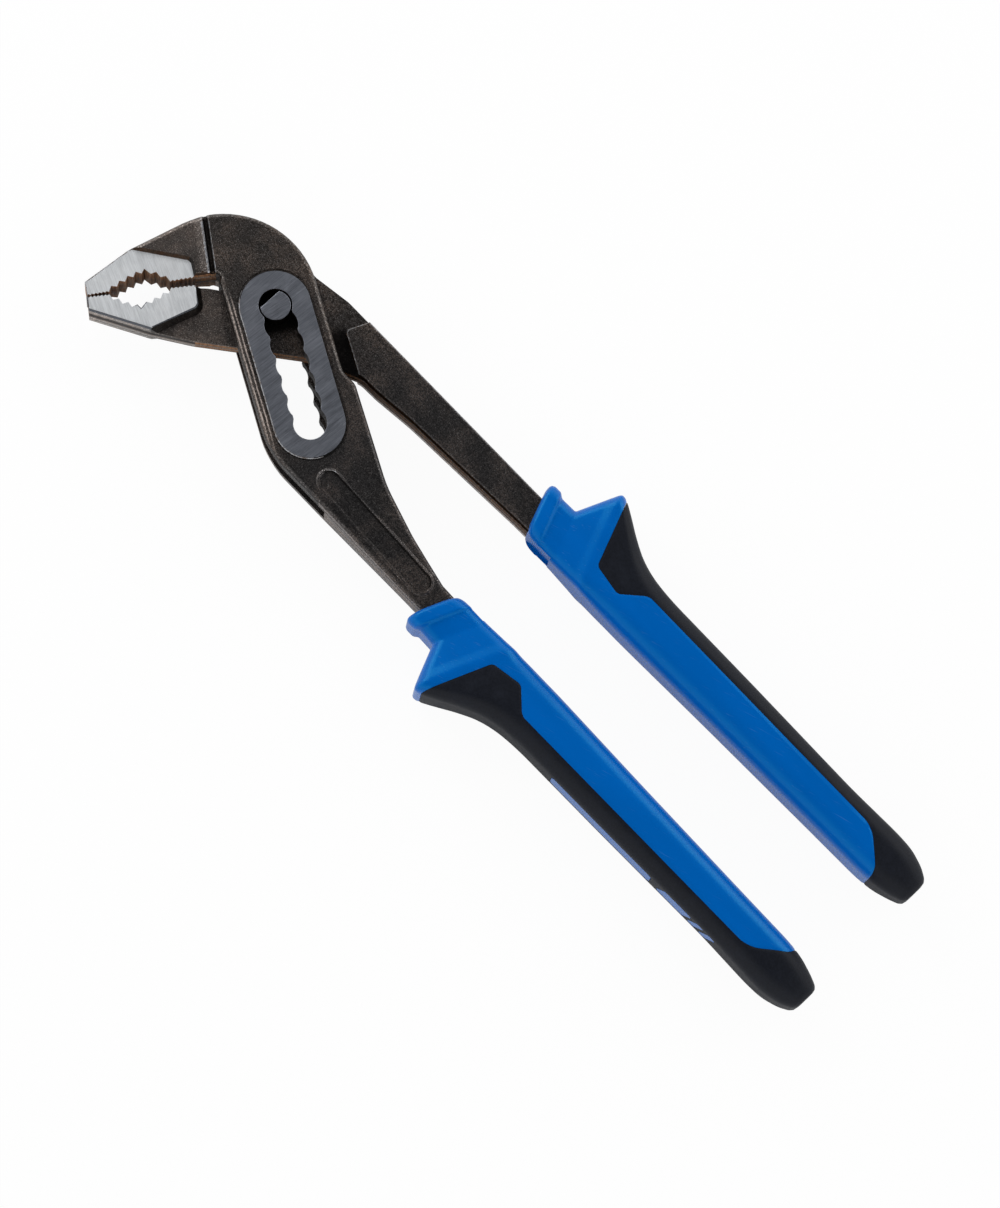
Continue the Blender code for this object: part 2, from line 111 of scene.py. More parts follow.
# Step of the neck: distance from its line towards the box, height above the neck
NECK_STEP = (
    (-4.2, 0.0), (-3.6, 0.08), (-3.0, 0.2), (-2.5, 0.33), (-2.1, 0.46), (-1.75, 0.58), (-1.55, 0.58),
    (-1.35, 0.2), (-1.15, -0.1), (-0.5, -0.1), (-0.3, BOX_HALF - NECK_HALF - 0.4),
    (-0.1, BOX_HALF - NECK_HALF - 0.08), (0.0, BOX_HALF - NECK_HALF),
)
# Sunk panel with a raised rim on the outer arm's front
PANEL_ENDS = (Vector((41.9, -21.2)), Vector((75.6, -22.1)))
PANEL_HALF = 2.7

# Jaws
JAW_BACK = (-19.2, -9.1)
JAW_TURN = 57.2
JAW_LENGTH = 27.5
JAW_TIP = (JAW_BACK[0] - JAW_LENGTH * math.cos(math.radians(JAW_TURN)),
           JAW_BACK[1] - JAW_LENGTH * math.sin(math.radians(JAW_TURN)))
FINE_TEETH = 6
FINE_DEPTH = 0.28
COARSE_TEETH = 7
ARCH = (0.2 * JAW_LENGTH, 0.764 * JAW_LENGTH)
ARCH_DEPTH = 0.124 * JAW_LENGTH
ARCH_BEND = 1.35                 # 1 gives an arch of two straight lines
UPPER_APEX, LOWER_APEX = 0.545 * JAW_LENGTH, 0.455 * JAW_LENGTH
TOOTH_LEAN = 0.36                # place of a tooth's root between two crests
TOOTH_LAP = 0.05                 # how far the teeth's cutter passes their crests
TOOTH_CLEAR = 6.0                # how far that cutter reaches out in front of them
LOWER_TILT, LOWER_DROP = -3.5, 0.35
JAW_ROOT = -5.0                  # the jaws' ground faces lie ahead of this
JAW_BAND, JAW_NOSE = 4.6, 0.05   # rims this far from the tooth line, or this near the tip, are rounded
JAW_RIM = 0.25
JAW_GRIND = -23.5                # direction of the grinding lines on the jaws

# Handles: w is the distance from the line midway between the grips
MIDLINE = -6.0
SHANK_START = 80.0
GRIP_START = 81.7
GRIP_LENGTH = 133.1
GRIP_END = GRIP_START + GRIP_LENGTH
TANG_END = GRIP_END - 25.0
SHANK_INNER, SHANK_OUTER = 12.3, 21.1
TANG_INNER, TANG_OUTER = 15.0, 20.0
GRIP_HALF = 8.6
CROWN = 0.45                     # how much a grip's flats drop towards their edges
SLANT = 0.40
SLANT_CENTRE = 18.5
SLANT_FADE = (20.0, 40.0)        # distances from the front between which the slant goes out
LEAST_CORNER = 0.8
GROOVE_REACH = 0.3               # half width of the groove along the cover's edge
COVER_WALL = 2.0
SLIT = (GRIP_START - 12.0, GRIP_START + 11.5)

# Grip sections: distance from the front, inner side, outer side, half thickness, corner radius
GRIP_ROWS = (
    (0.0, 12.7, 22.9, 5.5, 2.6),
    (0.35, 12.0, 24.2, 6.7, 3.0),
    (1.0, 11.6, 25.0, 7.15, 3.2),
    (2.0, 11.4, 25.4, 7.35, 3.2),
    (4.1, 11.35, 25.3, 7.7, 3.2),
    (4.8, 11.3, 24.5, 6.9, 3.0),
    (9.6, 11.2, 24.7, 6.6, 3.0),
    (16.2, 11.1, 32.6, 7.8, 3.2),
    (18.6, 11.05, 35.4, 8.5, 3.4),
    (19.4, 11.0, 36.0, 8.6, 3.6),
    (20.6, 11.0, 35.9, 8.45, 3.8),
    (22.4, 11.0, 34.3, 8.4, 4.2),
    (26.5, 10.9, 30.4, 8.45, 4.6),
    (31.0, 10.9, 27.6, 8.55, 5.0),
    (38.0, 10.9, 26.3, 8.6, 5.0),
    (68.0, 11.6, 26.1, 8.6, 5.0),
    (GRIP_LENGTH - 29.0, 12.2, 25.6, 8.6, 5.0),
    (GRIP_LENGTH - 13.0, 12.4, 26.0, 8.6, 5.0),
    (GRIP_LENGTH - 8.0, 12.9, 25.8, 8.2, 5.0),
    (GRIP_LENGTH - 3.5, 14.1, 24.6, 6.9, 4.4),
    (GRIP_LENGTH - 1.0, 15.1, 23.2, 5.8, 3.4),
    (GRIP_LENGTH - 0.2, 15.9, 22.2, 4.9, 2.4),
    (GRIP_LENGTH, 16.8, 21.0, 3.8, 1.7),
)
# Distance between sections, up to each distance from the front
GRIP_STEPS = ((2.4, 0.2), (24.0, 0.36), (40.0, 0.6), (GRIP_LENGTH - 20.0, 1.1), (GRIP_LENGTH - 3.0, 0.5),
              (GRIP_LENGTH - 0.2, 0.15))
# Half length over which the facets of the grip run into each other
GRIP_EASE = ((0.0, 0.15), (1.5, 0.3), (20.0, 0.45), (26.0, 1.8), (45.0, 5.0), (GRIP_LENGTH - 20.0, 3.0),
             (GRIP_LENGTH - 4.0, 1.2), (GRIP_LENGTH - 1.0, 0.3), (GRIP_LENGTH, 0.0))
# Edge of the black cover along the tool: place, distance from the midline, corner radius
COVER_EDGE = (
    (95.3, 37.0), (102.9, 18.0, 1.6), (111.4, 16.6, 2.0), (117.2, 21.9, 3.0),
    (GRIP_END - 19.0, 21.6, 8.0), (GRIP_END - 10.6, 14.5, 4.0), (GRIP_END - 10.0, 8.0),
)
COVER_BLOCK = ((GRIP_END + 9.0, 8.0), (GRIP_END + 9.0, 44.0), (93.0, 44.0))
# Blue stripes in the cover's back: distances to the grip's end, lean of the ends
STRIPES = ((82.0, 47.5, 0.0), (44.0, 34.5, 1.5), (33.0, 30.6, 1.5), (29.0, 26.6, 1.5))
STRIPE_HALF, STRIPE_CORNER = 3.0, 1.2
STRIPE_TOP = 36.0

# Shares of a colour on darker and lighter places, most of them painted shade or painted reflected light
# painted shade in hollows and on the pin's shank; a darker ground chamfer on the jaws
PAINTED_SHADE_SHARE, PIN_PAINTED_SHADE_SHARE, EDGE_SHADE = 0.16, 0.12, 0.4
# painted shade on the inner arm's upper walls; brown scale on the middle ones
UPPER_PAINTED_SHADE_SHARE, SCALE_SHADE = 0.06, 0.45
# painted reflected light on side walls, stronger on the inner arm's lower walls
PAINTED_REFLECTION_SHARE, LOWER_PAINTED_REFLECTION_SHARE = 3.1, 7.5
# colour of the painted shade in the gap round the tongue
PAINTED_GAP_SHADE = (0.006, 0.0055, 0.0055, 1.0)
# edge wear, cooled and lightened as a painted highlight
WEAR_AND_PAINTED_HIGHLIGHT_COLOUR = (0.34, 0.35, 0.37, 1.0)
SCUFF = (0.16, 0.27, 0.52, 1.0)
WHITE = (1.0, 1.0, 1.0, 1.0)

# Stage, in metres: lamps by name, place, size and power, and the camera
FLOOR_SIZE = 4.0
HORIZON, ZENITH = (1.45, 1.45, 1.45, 1.0), (0.12, 0.123, 0.13, 1.0)
LAMPS = (("left_box", (-0.9, 0.1, 0.55), 0.7, 3.5), ("back_box", (0.25, 0.95, 0.55), 0.6, 2.0))
LENS, SENSOR = 124.2377, 36.0
CLIP = (0.01, 30.0)
CAMERA_RIGHT = Vector((0.69314302, 0.71707752, 0.07316139))
CAMERA_UP = Vector((-0.71306774, 0.66733872, 0.21492657))
CAMERA_PLACE = (0.1125816, -0.2126084, 1.0156)

Sweep = namedtuple("Sweep", "centre radius start end")


# ---- drawing

def turned(x, y, degrees):
    """A point turned about the origin."""
    cosine, sine = math.cos(math.radians(degrees)), math.sin(math.radians(degrees))
    return (x * cosine - y * sine, x * sine + y * cosine)


def slot_point(along, aside):
    """Point from its place along the slot and to the side of it."""
    return turned(along, aside, SLOT_TURN)


def slot_place(x, y):
    """Place along the slot and to the side of it, of a point."""
    return turned(x, y, -SLOT_TURN)


def neck_point(place):
    """Point on the middle plane, a distance from the step of the outer arm's neck towards the box."""
    return Vector(turned(0, 1, NECK_TURN) + (0,)) * (NECK_LINE + place)


def neck_place(point):
    """Distance of a point from the step of the outer arm's neck, towards the box."""
    return turned(point.x, point.y, -NECK_TURN)[1] - NECK_LINE


def jaw_point(along, above, tilt=0.0, drop=0.0):
    """Point from its place along a jaw, from the tip, and above its tooth line."""
    down, over = turned(0, -drop, JAW_TURN), turned(along, above, JAW_TURN + tilt)
    return (JAW_TIP[0] + down[0] + over[0], JAW_TIP[1] + down[1] + over[1])


def lower_point(along, above):
    """Point on the lower jaw."""
    return jaw_point(along, above, LOWER_TILT, LOWER_DROP)


def jaw_place(x, y):
    """Place along the jaws, from the tip, and above the tooth line, of a point."""
    return turned(x - JAW_TIP[0], y - JAW_TIP[1], -JAW_TURN)


def shank_end(side, clear=0.0, start=SHANK_START):
    """Corners of the shank and tang inside a grip, from the inner edge round to the outer edge."""
    end = TANG_END + clear
    corners = ((start, SHANK_INNER - clear), (end, TANG_INNER - clear),
               (end, TANG_OUTER + clear), (start, SHANK_OUTER + clear))
    return [(x, MIDLINE + side * w) for x, w in corners]


def between(table, place, column, reach):
    """Value of one column of a table of rows, straight between the rows and eased over their bends."""
    stops = [(row[0], row[column]) for row in table]
    return sum(ramp(place + reach * k / 3, stops) for k in range(-3, 4)) / 7


def ramp(value, stops):
    """Straight-line value between stops of (place, value)."""
    if value <= stops[0][0]:
        return stops[0][1]
    for (low, a), (high, b) in zip(stops, stops[1:]):
        if value <= high:
            return a + (b - a) * (value - low) / (high - low)
    return stops[-1][1]


# ---- modelling

def trace(path):
    """Flat face of a path: corners, each with an optional fillet radius, and swept arcs."""
    bm = bmesh.new()
    loop, fillets = [], {}
    for step in path:
        if isinstance(step, Sweep):
            begin, turn = math.radians(step.start), math.radians(step.end - step.start)
            x, y = step.centre
            chain = [bm.verts.new((x + step.radius * math.cos(begin),
                                   y + step.radius * math.sin(begin), 0))]
            bmesh.ops.spin(bm, geom=chain, cent=(x, y, 0), axis=(0, 0, 1), angle=turn,
                           steps=math.ceil(abs(turn) / ARC_STEP), use_merge=False)
            while len(chain) == 1 or len(chain[-1].link_edges) == 2:
                ends = [edge.other_vert(chain[-1]) for edge in chain[-1].link_edges]
                chain.append([end for end in ends if end not in chain[-2:]][0])
            loop += chain
        else:
            loop.append(bm.verts.new((step[0], step[1], 0)))
            if len(step) == 3 and step[2]:
                fillets[len(loop) - 1] = step[2]
    bm.faces.new(loop)
    rounds = []
    for i, radius in fillets.items():
        back = loop[i - 1].co - loop[i].co
        ahead = loop[(i + 1) % len(loop)].co - loop[i].co
        half = back.angle(ahead) / 2
        reach = min(radius / math.tan(half), FILLET_SHARE * back.length, FILLET_SHARE * ahead.length)
        rounds.append((loop[i], reach, max(2, math.ceil((math.pi - 2 * half) / ARC_STEP))))
    for vert, reach, count in rounds:
        bmesh.ops.bevel(bm, geom=[vert], offset=reach, offset_type="OFFSET", affect="VERTICES",
                        segments=count, profile=0.5, material=-1, clamp_overlap=False)
    for face in bm.faces:
        face.normal_update()
    bmesh.ops.reverse_faces(bm, faces=[face for face in bm.faces if face.normal.z < 0])
    for face in bm.faces:
        face.normal_update()
    return bm


def whole(bm):
    """All the geometry of a bmesh."""
    return bm.verts[:] + bm.edges[:] + bm.faces[:]


def open_edges(bm):
    """Edges round the openings of a bmesh."""
    return [edge for edge in bm.edges if edge.is_boundary]


def cap(bm):
    """Fills the openings of a bmesh."""
    bmesh.ops.holes_fill(bm, edges=open_edges(bm), sides=0)
    return bm


def raise_new(bm, made, height):
    """Lifts the corners that an operator has just made."""
    corners = [part for part in made["geom"] if isinstance(part, bmesh.types.BMVert)]
    bmesh.ops.translate(bm, verts=corners, vec=(0, 0, height))


def mirrored(bm, merge=-1):
    """Adds the mirror image below the middle plane, joined to the piece within the merge distance."""
    bmesh.ops.mirror(bm, geom=whole(bm), matrix=Matrix.Identity(4), merge_dist=merge, axis="Z")
    bmesh.ops.recalc_face_normals(bm, faces=bm.faces)
    return bm


def stack(path, steps):
    """Builds a side up from the flat face of a path in steps of (drawn in, raised)."""
    bm = trace(path)
    bm.faces.ensure_lookup_table()
    top = bm.faces[0]
    for drawn_in, raised in steps:
        bmesh.ops.inset_region(bm, faces=[top], thickness=drawn_in, depth=raised,
                               use_boundary=True, use_even_offset=True)
    return bm


def forge(path, half, rim, ridge, line):
    """Forging of a path: parting ridge round the middle, drafted sides with a die line, rounded rims."""
    angles = [math.radians(90 * i / RIM_STEPS) for i in range(RIM_STEPS + 1)]
    steps = [(ridge, RIDGE_HALF), (0.05, line - RIDGE_HALF), (LINE_STEP, LINE_STEP), (-0.10, LINE_RISE),
             (0.04, half - rim - line - LINE_STEP - LINE_RISE)]
    steps += [(rim * (math.cos(a) - math.cos(b)), rim * (math.sin(b) - math.sin(a)))
              for a, b in zip(angles, angles[1:])]
    return mirrored(stack(path, steps), MERGE)


def prism(path, low=-THROUGH, high=THROUGH):
    """Straight block of a path between two heights."""
    bm = trace(path)
    bmesh.ops.translate(bm, verts=bm.verts, vec=(0, 0, low))
    raise_new(bm, bmesh.ops.extrude_face_region(bm, geom=bm.faces[:]), high - low)
    bmesh.ops.recalc_face_normals(bm, faces=bm.faces)
    return bm


def twin(path, low, steps):
    """Two blocks built up from a low height in steps of stack(), above the middle plane and below it."""
    bm = cap(stack(path, steps))
    bmesh.ops.translate(bm, verts=bm.verts, vec=(0, 0, low))
    return mirrored(bm)


def hollow(path, top, bottom, lean):
    """Two cutters of a path drawn at top height, with sides leaning in down to the bottom height."""
    bm = stack(path, [(lean, bottom - top)])
    raise_new(bm, bmesh.ops.extrude_edge_only(bm, edges=open_edges(bm)), THROUGH - top)
    bmesh.ops.translate(cap(bm), verts=bm.verts, vec=(0, 0, top))
    return mirrored(bm)


def put_in(name, bm):
    """New object of a bmesh, which is used up."""
    mesh = bpy.data.meshes.new(name)
    bm.to_mesh(mesh)
    bm.free()
    piece = bpy.data.objects.new(name, mesh)
    bpy.context.scene.collection.objects.link(piece)
    return piece


def carve(blank, tool, operation="DIFFERENCE"):
    """Exact Boolean of a blank with a tool; both are used up, and the result is a new bmesh."""
    pieces = [put_in("carving", bm) for bm in (blank, tool)]
    modifier = pieces[0].modifiers.new("carve", "BOOLEAN")
    modifier.object, modifier.operation, modifier.solver = pieces[1], operation, "EXACT"
    graph = bpy.context.evaluated_depsgraph_get()
    shaped = bpy.data.meshes.new_from_object(pieces[0].evaluated_get(graph))
    for piece in pieces:
        mesh = piece.data
        bpy.data.objects.remove(piece)
        bpy.data.meshes.remove(mesh)
    result = bmesh.new()
    result.from_mesh(shaped)
    bpy.data.meshes.remove(shaped)
    if not result.faces:
        raise RuntimeError("a carving step left nothing of its blank")
    bmesh.ops.remove_doubles(result, verts=result.verts, dist=MERGE)
    return result


def section_lines(bm, origin, normal, places):
    """Cuts edges into a piece along parallel planes, so that it can bend there."""
    normal = Vector(normal).normalized()
    for place in places:
        bmesh.ops.bisect_plane(bm, geom=whole(bm), dist=1e-5, plane_co=Vector(origin) + normal * place,
                               plane_no=normal)


def taper(full):
    """Stops of (place, share of the full half thickness) from a forging's middle to its tang."""
    thin = SHANK_HALF / full
    return ((TAPER[0], 1.0), (TAPER[0] + TAPER_EASE, 0.985), (TAPER[1] - TAPER_EASE, thin * 1.01),
            (TAPER[1], thin))


def thin_shank(bm, full):
    """Thins a forging towards its tang."""
    stops = taper(full)
    section_lines(bm, (0, 0, 0), (1, 0, 0), [stop[0] for stop in stops])
    for vert in bm.verts:
        vert.co.z *= ramp(vert.co.x, stops)


def ease(bm, chosen, width, finish=0):
    """Rounds the sharp outside edges whose middle is chosen, and gives the rounding one of the finishes."""
    edges = [edge for edge in bm.edges if len(edge.link_faces) == 2 and edge.is_convex
             and edge.calc_face_angle(0) > EASED_ANGLE
             and chosen((edge.verts[0].co + edge.verts[1].co) / 2, edge)]
    rounding = bmesh.ops.bevel(bm, geom=edges, offset=width, offset_type="OFFSET", affect="EDGES",
                               segments=2, profile=0.5, material=-1, clamp_overlap=False)
    for face in rounding["faces"]:
        face.material_index = finish


def level(edge, height):
    """Whether an edge lies in the planes at a height above and below the middle."""
    return all(abs(abs(vert.co.z) - height) < 1e-3 for vert in edge.verts)


def ease_jaw(bm, sign, finish):
    """Rounds the rim of a jaw's ground faces; sign is 1 on the upper jaw, -1 on the lower."""
    def chosen(middle, edge):
        along, above = jaw_place(middle.x, middle.y)
        return (level(edge, JAW_HALF) and middle.x < JAW_ROOT
                and (sign * above > JAW_BAND or along < JAW_NOSE))

    ease(bm, chosen, JAW_RIM, finish)


def tooth_path(point, apex, sign, depth):
    """Outline of the space in front of a jaw's teeth; sign is 1 on the upper jaw, -1 on the lower."""
    def arch(along):
        rise = (along - ARCH[0]) / (apex - ARCH[0])
        fall = (ARCH[1] - along) / (ARCH[1] - apex)
        return ARCH_DEPTH * (1 - (1 - max(0.0, min(rise, fall))) ** ARCH_BEND)

    rows = ((0.0, ARCH[0], FINE_TEETH, FINE_DEPTH), (ARCH[0], ARCH[1], COARSE_TEETH, depth),
            (ARCH[1], JAW_LENGTH, FINE_TEETH, FINE_DEPTH))
    lap, clear = -sign * TOOTH_LAP, -sign * TOOTH_CLEAR
    path = [point(-TOOTH_CLEAR, clear), point(-TOOTH_CLEAR, lap), point(0, lap)]
    for start, end, count, deep in rows:
        pitch = (end - start) / count
        for i in range(count):
            lean = TOOTH_LEAN if start + i * pitch < apex else 1 - TOOTH_LEAN
            root, crest = start + (i + lean) * pitch, start + (i + 1) * pitch
            path += [point(root, sign * (arch(root) + deep)),
                     point(crest, sign * (arch(crest) - TOOTH_LAP))]
    return path + [point(JAW_LENGTH + TOOTH_LAP, lap), point(JAW_LENGTH + TOOTH_LAP, clear)]


def slot_path():
    """Slot of round grooves joined by a narrower passage."""
    reach = math.degrees(math.asin(SLOT_HALF_WIDTH / GROOVE_RADIUS))
    last = GROOVE_COUNT - 1
    path = []
    for i in range(GROOVE_COUNT):
        begin, end = 180 if i == 0 else 180 - reach, 0 if i == last else reach
        path.append(Sweep(slot_point(i * GROOVE_PITCH, 0), GROOVE_RADIUS, SLOT_TURN + begin, SLOT_TURN + end))
    for i in reversed(range(GROOVE_COUNT)):
        begin, end = -2 if i == last else -reach, -178 if i == 0 else reach - 180
        path.append(Sweep(slot_point(i * GROOVE_PITCH, 0), GROOVE_RADIUS, SLOT_TURN + begin, SLOT_TURN + end))
    return path


def stadium(first, last, radius):
    """Path of a straight bar with round ends."""
    along = Vector(last) - Vector(first)
    turn = math.degrees(math.atan2(along.y, along.x))
    return [Sweep(tuple(first), radius, turn + 90, turn + 270),
            Sweep(tuple(last), radius, turn - 90, turn + 90)]


def stadium_distance(point, first, last):
    """Distance of a point from the straight middle line of a stadium."""
    along = last - first
    share = min(1.0, max(0.0, (point.xy - first).dot(along) / along.length_squared))
    return (point.xy - first - along * share).length


def set_out(name, bm, finishes, body, node, rule=None):
    """Object of a shaped piece, in the CAD frame, riding its body in place of its CAD node."""
    bmesh.ops.remove_doubles(bm, verts=bm.verts, dist=2 * MERGE)
    bmesh.ops.dissolve_degenerate(bm, edges=bm.edges, dist=MERGE)
    bmesh.ops.recalc_face_normals(bm, faces=bm.faces)
    if not bm.faces:
        raise RuntimeError(name + " has no faces")
    if rule:
        for face in bm.faces:
            face.material_index = face.material_index or rule(face.calc_center_median(), face.normal)
    bmesh.ops.transform(bm, verts=bm.verts, matrix=Matrix.Translation(PIN_PLACE) @ Matrix.Scale(MM, 4))
    piece = put_in(name, bm)
    for finish in finishes:
        piece.data.materials.append(finish)
    piece.data.shade_smooth()
    piece.data.set_sharp_from_angle(angle=SMOOTH_ANGLE)
    normals = piece.modifiers.new("flat faces stay flat", "WEIGHTED_NORMAL")
    normals.keep_sharp = True
    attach(piece, body)
    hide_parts(node)


# ---- grips

def grip_distances():
    """Places of the grip's sections, closer together where its shape is busy."""
    places, here = [], 0.0
    while here < GRIP_STEPS[-1][0]:
        places.append(here)
        here += next(step for end, step in GRIP_STEPS if here < end)
    return places + [GRIP_LENGTH]


def grip_ring(place, inset, flats, corners):
    """Points of one section and their outward directions: place along, w, height."""
    eased = ramp(place, GRIP_EASE)
    inner, outer, half, corner = (between(GRIP_ROWS, place, k, eased) for k in (1, 2, 3, 4))
    corner = max(corner - inset, LEAST_CORNER)
    low, high, top = inner + inset + corner, outer - inset - corner, half - inset - corner
    fade = min(1.0, max(0.0, (SLANT_FADE[1] - place) / (SLANT_FADE[1] - SLANT_FADE[0])))
    middle, reach = (low + high) / 2, (high - low) / 2 + corner
    centres = ((high, top), (low, top), (low, -top), (high, -top))
    points = []
    for quarter, (w, z) in enumerate(centres):
        for i in range(corners + 1):
            angle = math.radians(90 * quarter + 90 * i / corners)
            points.append((w + corner * math.cos(angle), z + corner * math.sin(angle),
                           math.cos(angle), math.sin(angle)))
        next_w, next_z = centres[(quarter + 1) % 4]
        angle = math.radians(90 * quarter + 90)
        count = flats if quarter % 2 == 0 else corners
        for i in range(1, count):
            t = i / count
            points.append((w + (next_w - w) * t + corner * math.cos(angle),
                           z + (next_z - z) * t + corner * math.sin(angle), math.cos(angle), math.sin(angle)))
    for w, z, out_w, out_z in points:
        drop = CROWN * ((w - middle) / reach) ** 2 if not inset else 0.0
        height = z * (1 - drop / half)
        yield (GRIP_START + place - SLANT * fade * (w - SLANT_CENTRE), w, height, out_w, out_z)


def edge_distance(edges, x, w):
    """Distance from a point to the nearest of a chain of edges."""
    best = 1e9
    for ax, aw, bx, bw in edges:
        dx, dw = bx - ax, bw - aw
        t = min(1.0, max(0.0, ((x - ax) * dx + (w - aw) * dw) / (dx * dx + dw * dw)))
        best = min(best, math.hypot(ax + dx * t - x, aw + dw * t - w))
    return best


def cover_edges():
    """The cover's edge as short straight lengths, fillets included."""
    bm = trace(COVER_BLOCK + COVER_EDGE)
    edges = [(e.verts[0].co.copy(), e.verts[1].co.copy()) for e in bm.edges]
    bm.free()
    border = COVER_EDGE[0][1] - 0.1
    return [(a.x, a.y, b.x, b.y) for a, b in edges if min(a.y, b.y) < border and max(a.x, b.x) < GRIP_END]


def grip_solid(groove, inset=0.0, places=None, flats=40, corners=10, edges=()):
    """Loft through a grip's sections; groove is the depth of the line along the cover's edge."""
    places = places or grip_distances()
    rings = [list(grip_ring(place, inset, flats, corners)) for place in places]
    around = len(rings[0])
    bm = bmesh.new()
    bmesh.ops.create_grid(bm, x_segments=len(rings) - 1, y_segments=around, size=0.5)
    for vert in bm.verts:
        i = round((vert.co.x + 0.5) * (len(rings) - 1))
        x, w, z, out_w, out_z = rings[i][round((vert.co.y + 0.5) * around) % around]
        push = 0.0
        if edges:
            push = -groove * math.exp(-(edge_distance(edges, x, w) / GROOVE_REACH) ** 2)
        vert.co = (x, MIDLINE - (w + push * out_w), z + push * out_z)
    bmesh.ops.remove_doubles(bm, verts=bm.verts, dist=1e-5)
    bmesh.ops.recalc_face_normals(cap(bm), faces=bm.faces)
    bmesh.ops.triangulate(bm, faces=bm.faces)
    return bm


def cover_block(shift):
    """Block that holds the black cover of the outer grip, moved away from the sleeve by shift."""
    path = [(p[0] + shift[0], MIDLINE - p[1] - shift[1]) + tuple(p[2:])
            for p in COVER_BLOCK + COVER_EDGE]
    return prism(path, -2 * GRIP_HALF, 2 * GRIP_HALF)


def stripe_blocks(grow):
    """Blocks of the blue stripes on the grip's back, each grown by grow."""
    blocks = bmesh.new()
    half = STRIPE_HALF + grow
    for start, end, lean in STRIPES:
        low, high = GRIP_END - start - grow, GRIP_END - end + grow
        corners = ((low - lean, -half), (high - lean, -half), (high + lean, half), (low + lean, half))
        bm = prism([corner + (STRIPE_CORNER,) for corner in corners],
                   MIDLINE - STRIPE_TOP, MIDLINE - SHANK_OUTER)
        swap = Matrix(((1, 0, 0), (0, 0, 1), (0, 1, 0))).to_4x4()
        bmesh.ops.transform(bm, verts=bm.verts, matrix=swap)
        mesh = bpy.data.meshes.new("stripe")
        bm.to_mesh(mesh)
        bm.free()
        blocks.from_mesh(mesh)
        bpy.data.meshes.remove(mesh)
    bmesh.ops.recalc_face_normals(blocks, faces=blocks.faces)
    return blocks


def other_side(bm):
    """Copy of an outer grip's piece as the inner grip's."""
    copy = bm.copy()
    bmesh.ops.translate(copy, verts=copy.verts, vec=(0, -MIDLINE, 0))
    bmesh.ops.scale(copy, verts=copy.verts, vec=(1, -1, 1))
    bmesh.ops.translate(copy, verts=copy.verts, vec=(0, MIDLINE, 0))
    bmesh.ops.reverse_faces(copy, faces=copy.faces)
    return copy


# ---- finishes

class Wire:
    """A socket of a node tree; arithmetic on it adds Math nodes."""

    def __init__(self, finish, socket):
        self.finish, self.socket = finish, socket

    def step(self, operation, other=0.0, back=False):
        """Math node of the socket and another value, or the two the other way round."""
        first, second = (other, self) if back else (self, other)
        return self.finish.node("ShaderNodeMath", {"operation": operation}, {0: first, 1: second})

    def __add__(self, other):
        return self.step("ADD", other)

    def __sub__(self, other):
        return self.step("SUBTRACT", other)

    def __rsub__(self, other):
        return self.step("SUBTRACT", other, back=True)

    def __mul__(self, other):
        return self.step("MULTIPLY", other)

    __radd__, __rmul__ = __add__, __mul__

    def over(self, low, high):
        """0 below low, 1 above high and smooth between."""
        return self.finish.node("ShaderNodeMapRange", {"interpolation_type": "SMOOTHSTEP"},
                                {"Value": self, "From Min": low, "From Max": high})


class Finish:
    """A node tree being built: a material's, or the world's."""

    def __init__(self, tree):
        self.tree = tree
        tree.nodes.clear()

    def node(self, kind, settings=None, sockets=None, out=0):
        """Adds a node, sets it and fills its sockets, and gives one of its outputs."""
        made = self.tree.nodes.new(kind)
        for key, value in (settings or {}).items():
            setattr(made, key, value)
        for key, value in (sockets or {}).items():
            if isinstance(value, Wire):
                self.tree.links.new(value.socket, made.inputs[key])
            else:
                made.inputs[key].default_value = value
        return Wire(self, made.outputs[out]) if made.outputs else None

    def place(self, turn=0.0, stretch=(1.0, 1.0, 1.0)):
        """Object coordinates in millimetres, turned about Z and then stretched."""
        spot = self.node("ShaderNodeTexCoord", out="Object")
        scaled = self.node("ShaderNodeMapping", None, {"Vector": spot, "Scale": (1 / MM,) * 3,
                                                       "Rotation": (0, 0, -math.radians(turn))})
        return self.node("ShaderNodeVectorMath", {"operation": "MULTIPLY"}, {0: scaled, 1: stretch})

    def noise(self, place, scale, detail, rough):
        """Cloudy pattern from 0 to 1, with scale spots to the millimetre."""
        return self.node("ShaderNodeTexNoise", None,
                         {"Vector": place, "Scale": scale, "Detail": detail, "Roughness": rough})

    def part(self, vector, axis):
        """One number of a vector."""
        return self.node("ShaderNodeSeparateXYZ", None, {0: vector}, out=axis)

    def mix(self, share, first, second):
        """Colour between two colours."""
        return self.node("ShaderNodeMix", {"data_type": "RGBA"}, {0: share, 6: first, 7: second}, out=2)

    def bump(self, height, deep):
        """Normal of a height pattern that is deep millimetres from low to high."""
        return self.node("ShaderNodeBump", None, {"Height": height, "Distance": deep * MM, "Strength": 1.0})

    def surface(self, sockets):
        """Ends a material's tree."""
        shader = self.node("ShaderNodeBsdfPrincipled", None, sockets)
        self.node("ShaderNodeOutputMaterial", None, {"Surface": shader})


def start_finish(name):
    """A material and its node tree, empty."""
    material = bpy.data.materials.get(name) or bpy.data.materials.new(name)
    material.use_nodes = True
    return material, Finish(material.node_tree)


def shade(colour, factor):
    """A colour made lighter or darker, as four numbers."""
    return tuple(min(1.0, c * factor) for c in colour[:3]) + (1.0,)


def tint(colour, red, green, blue):
    """A colour with its three numbers multiplied, as four numbers."""
    return (colour[0] * red, colour[1] * green, colour[2] * blue, 1.0)


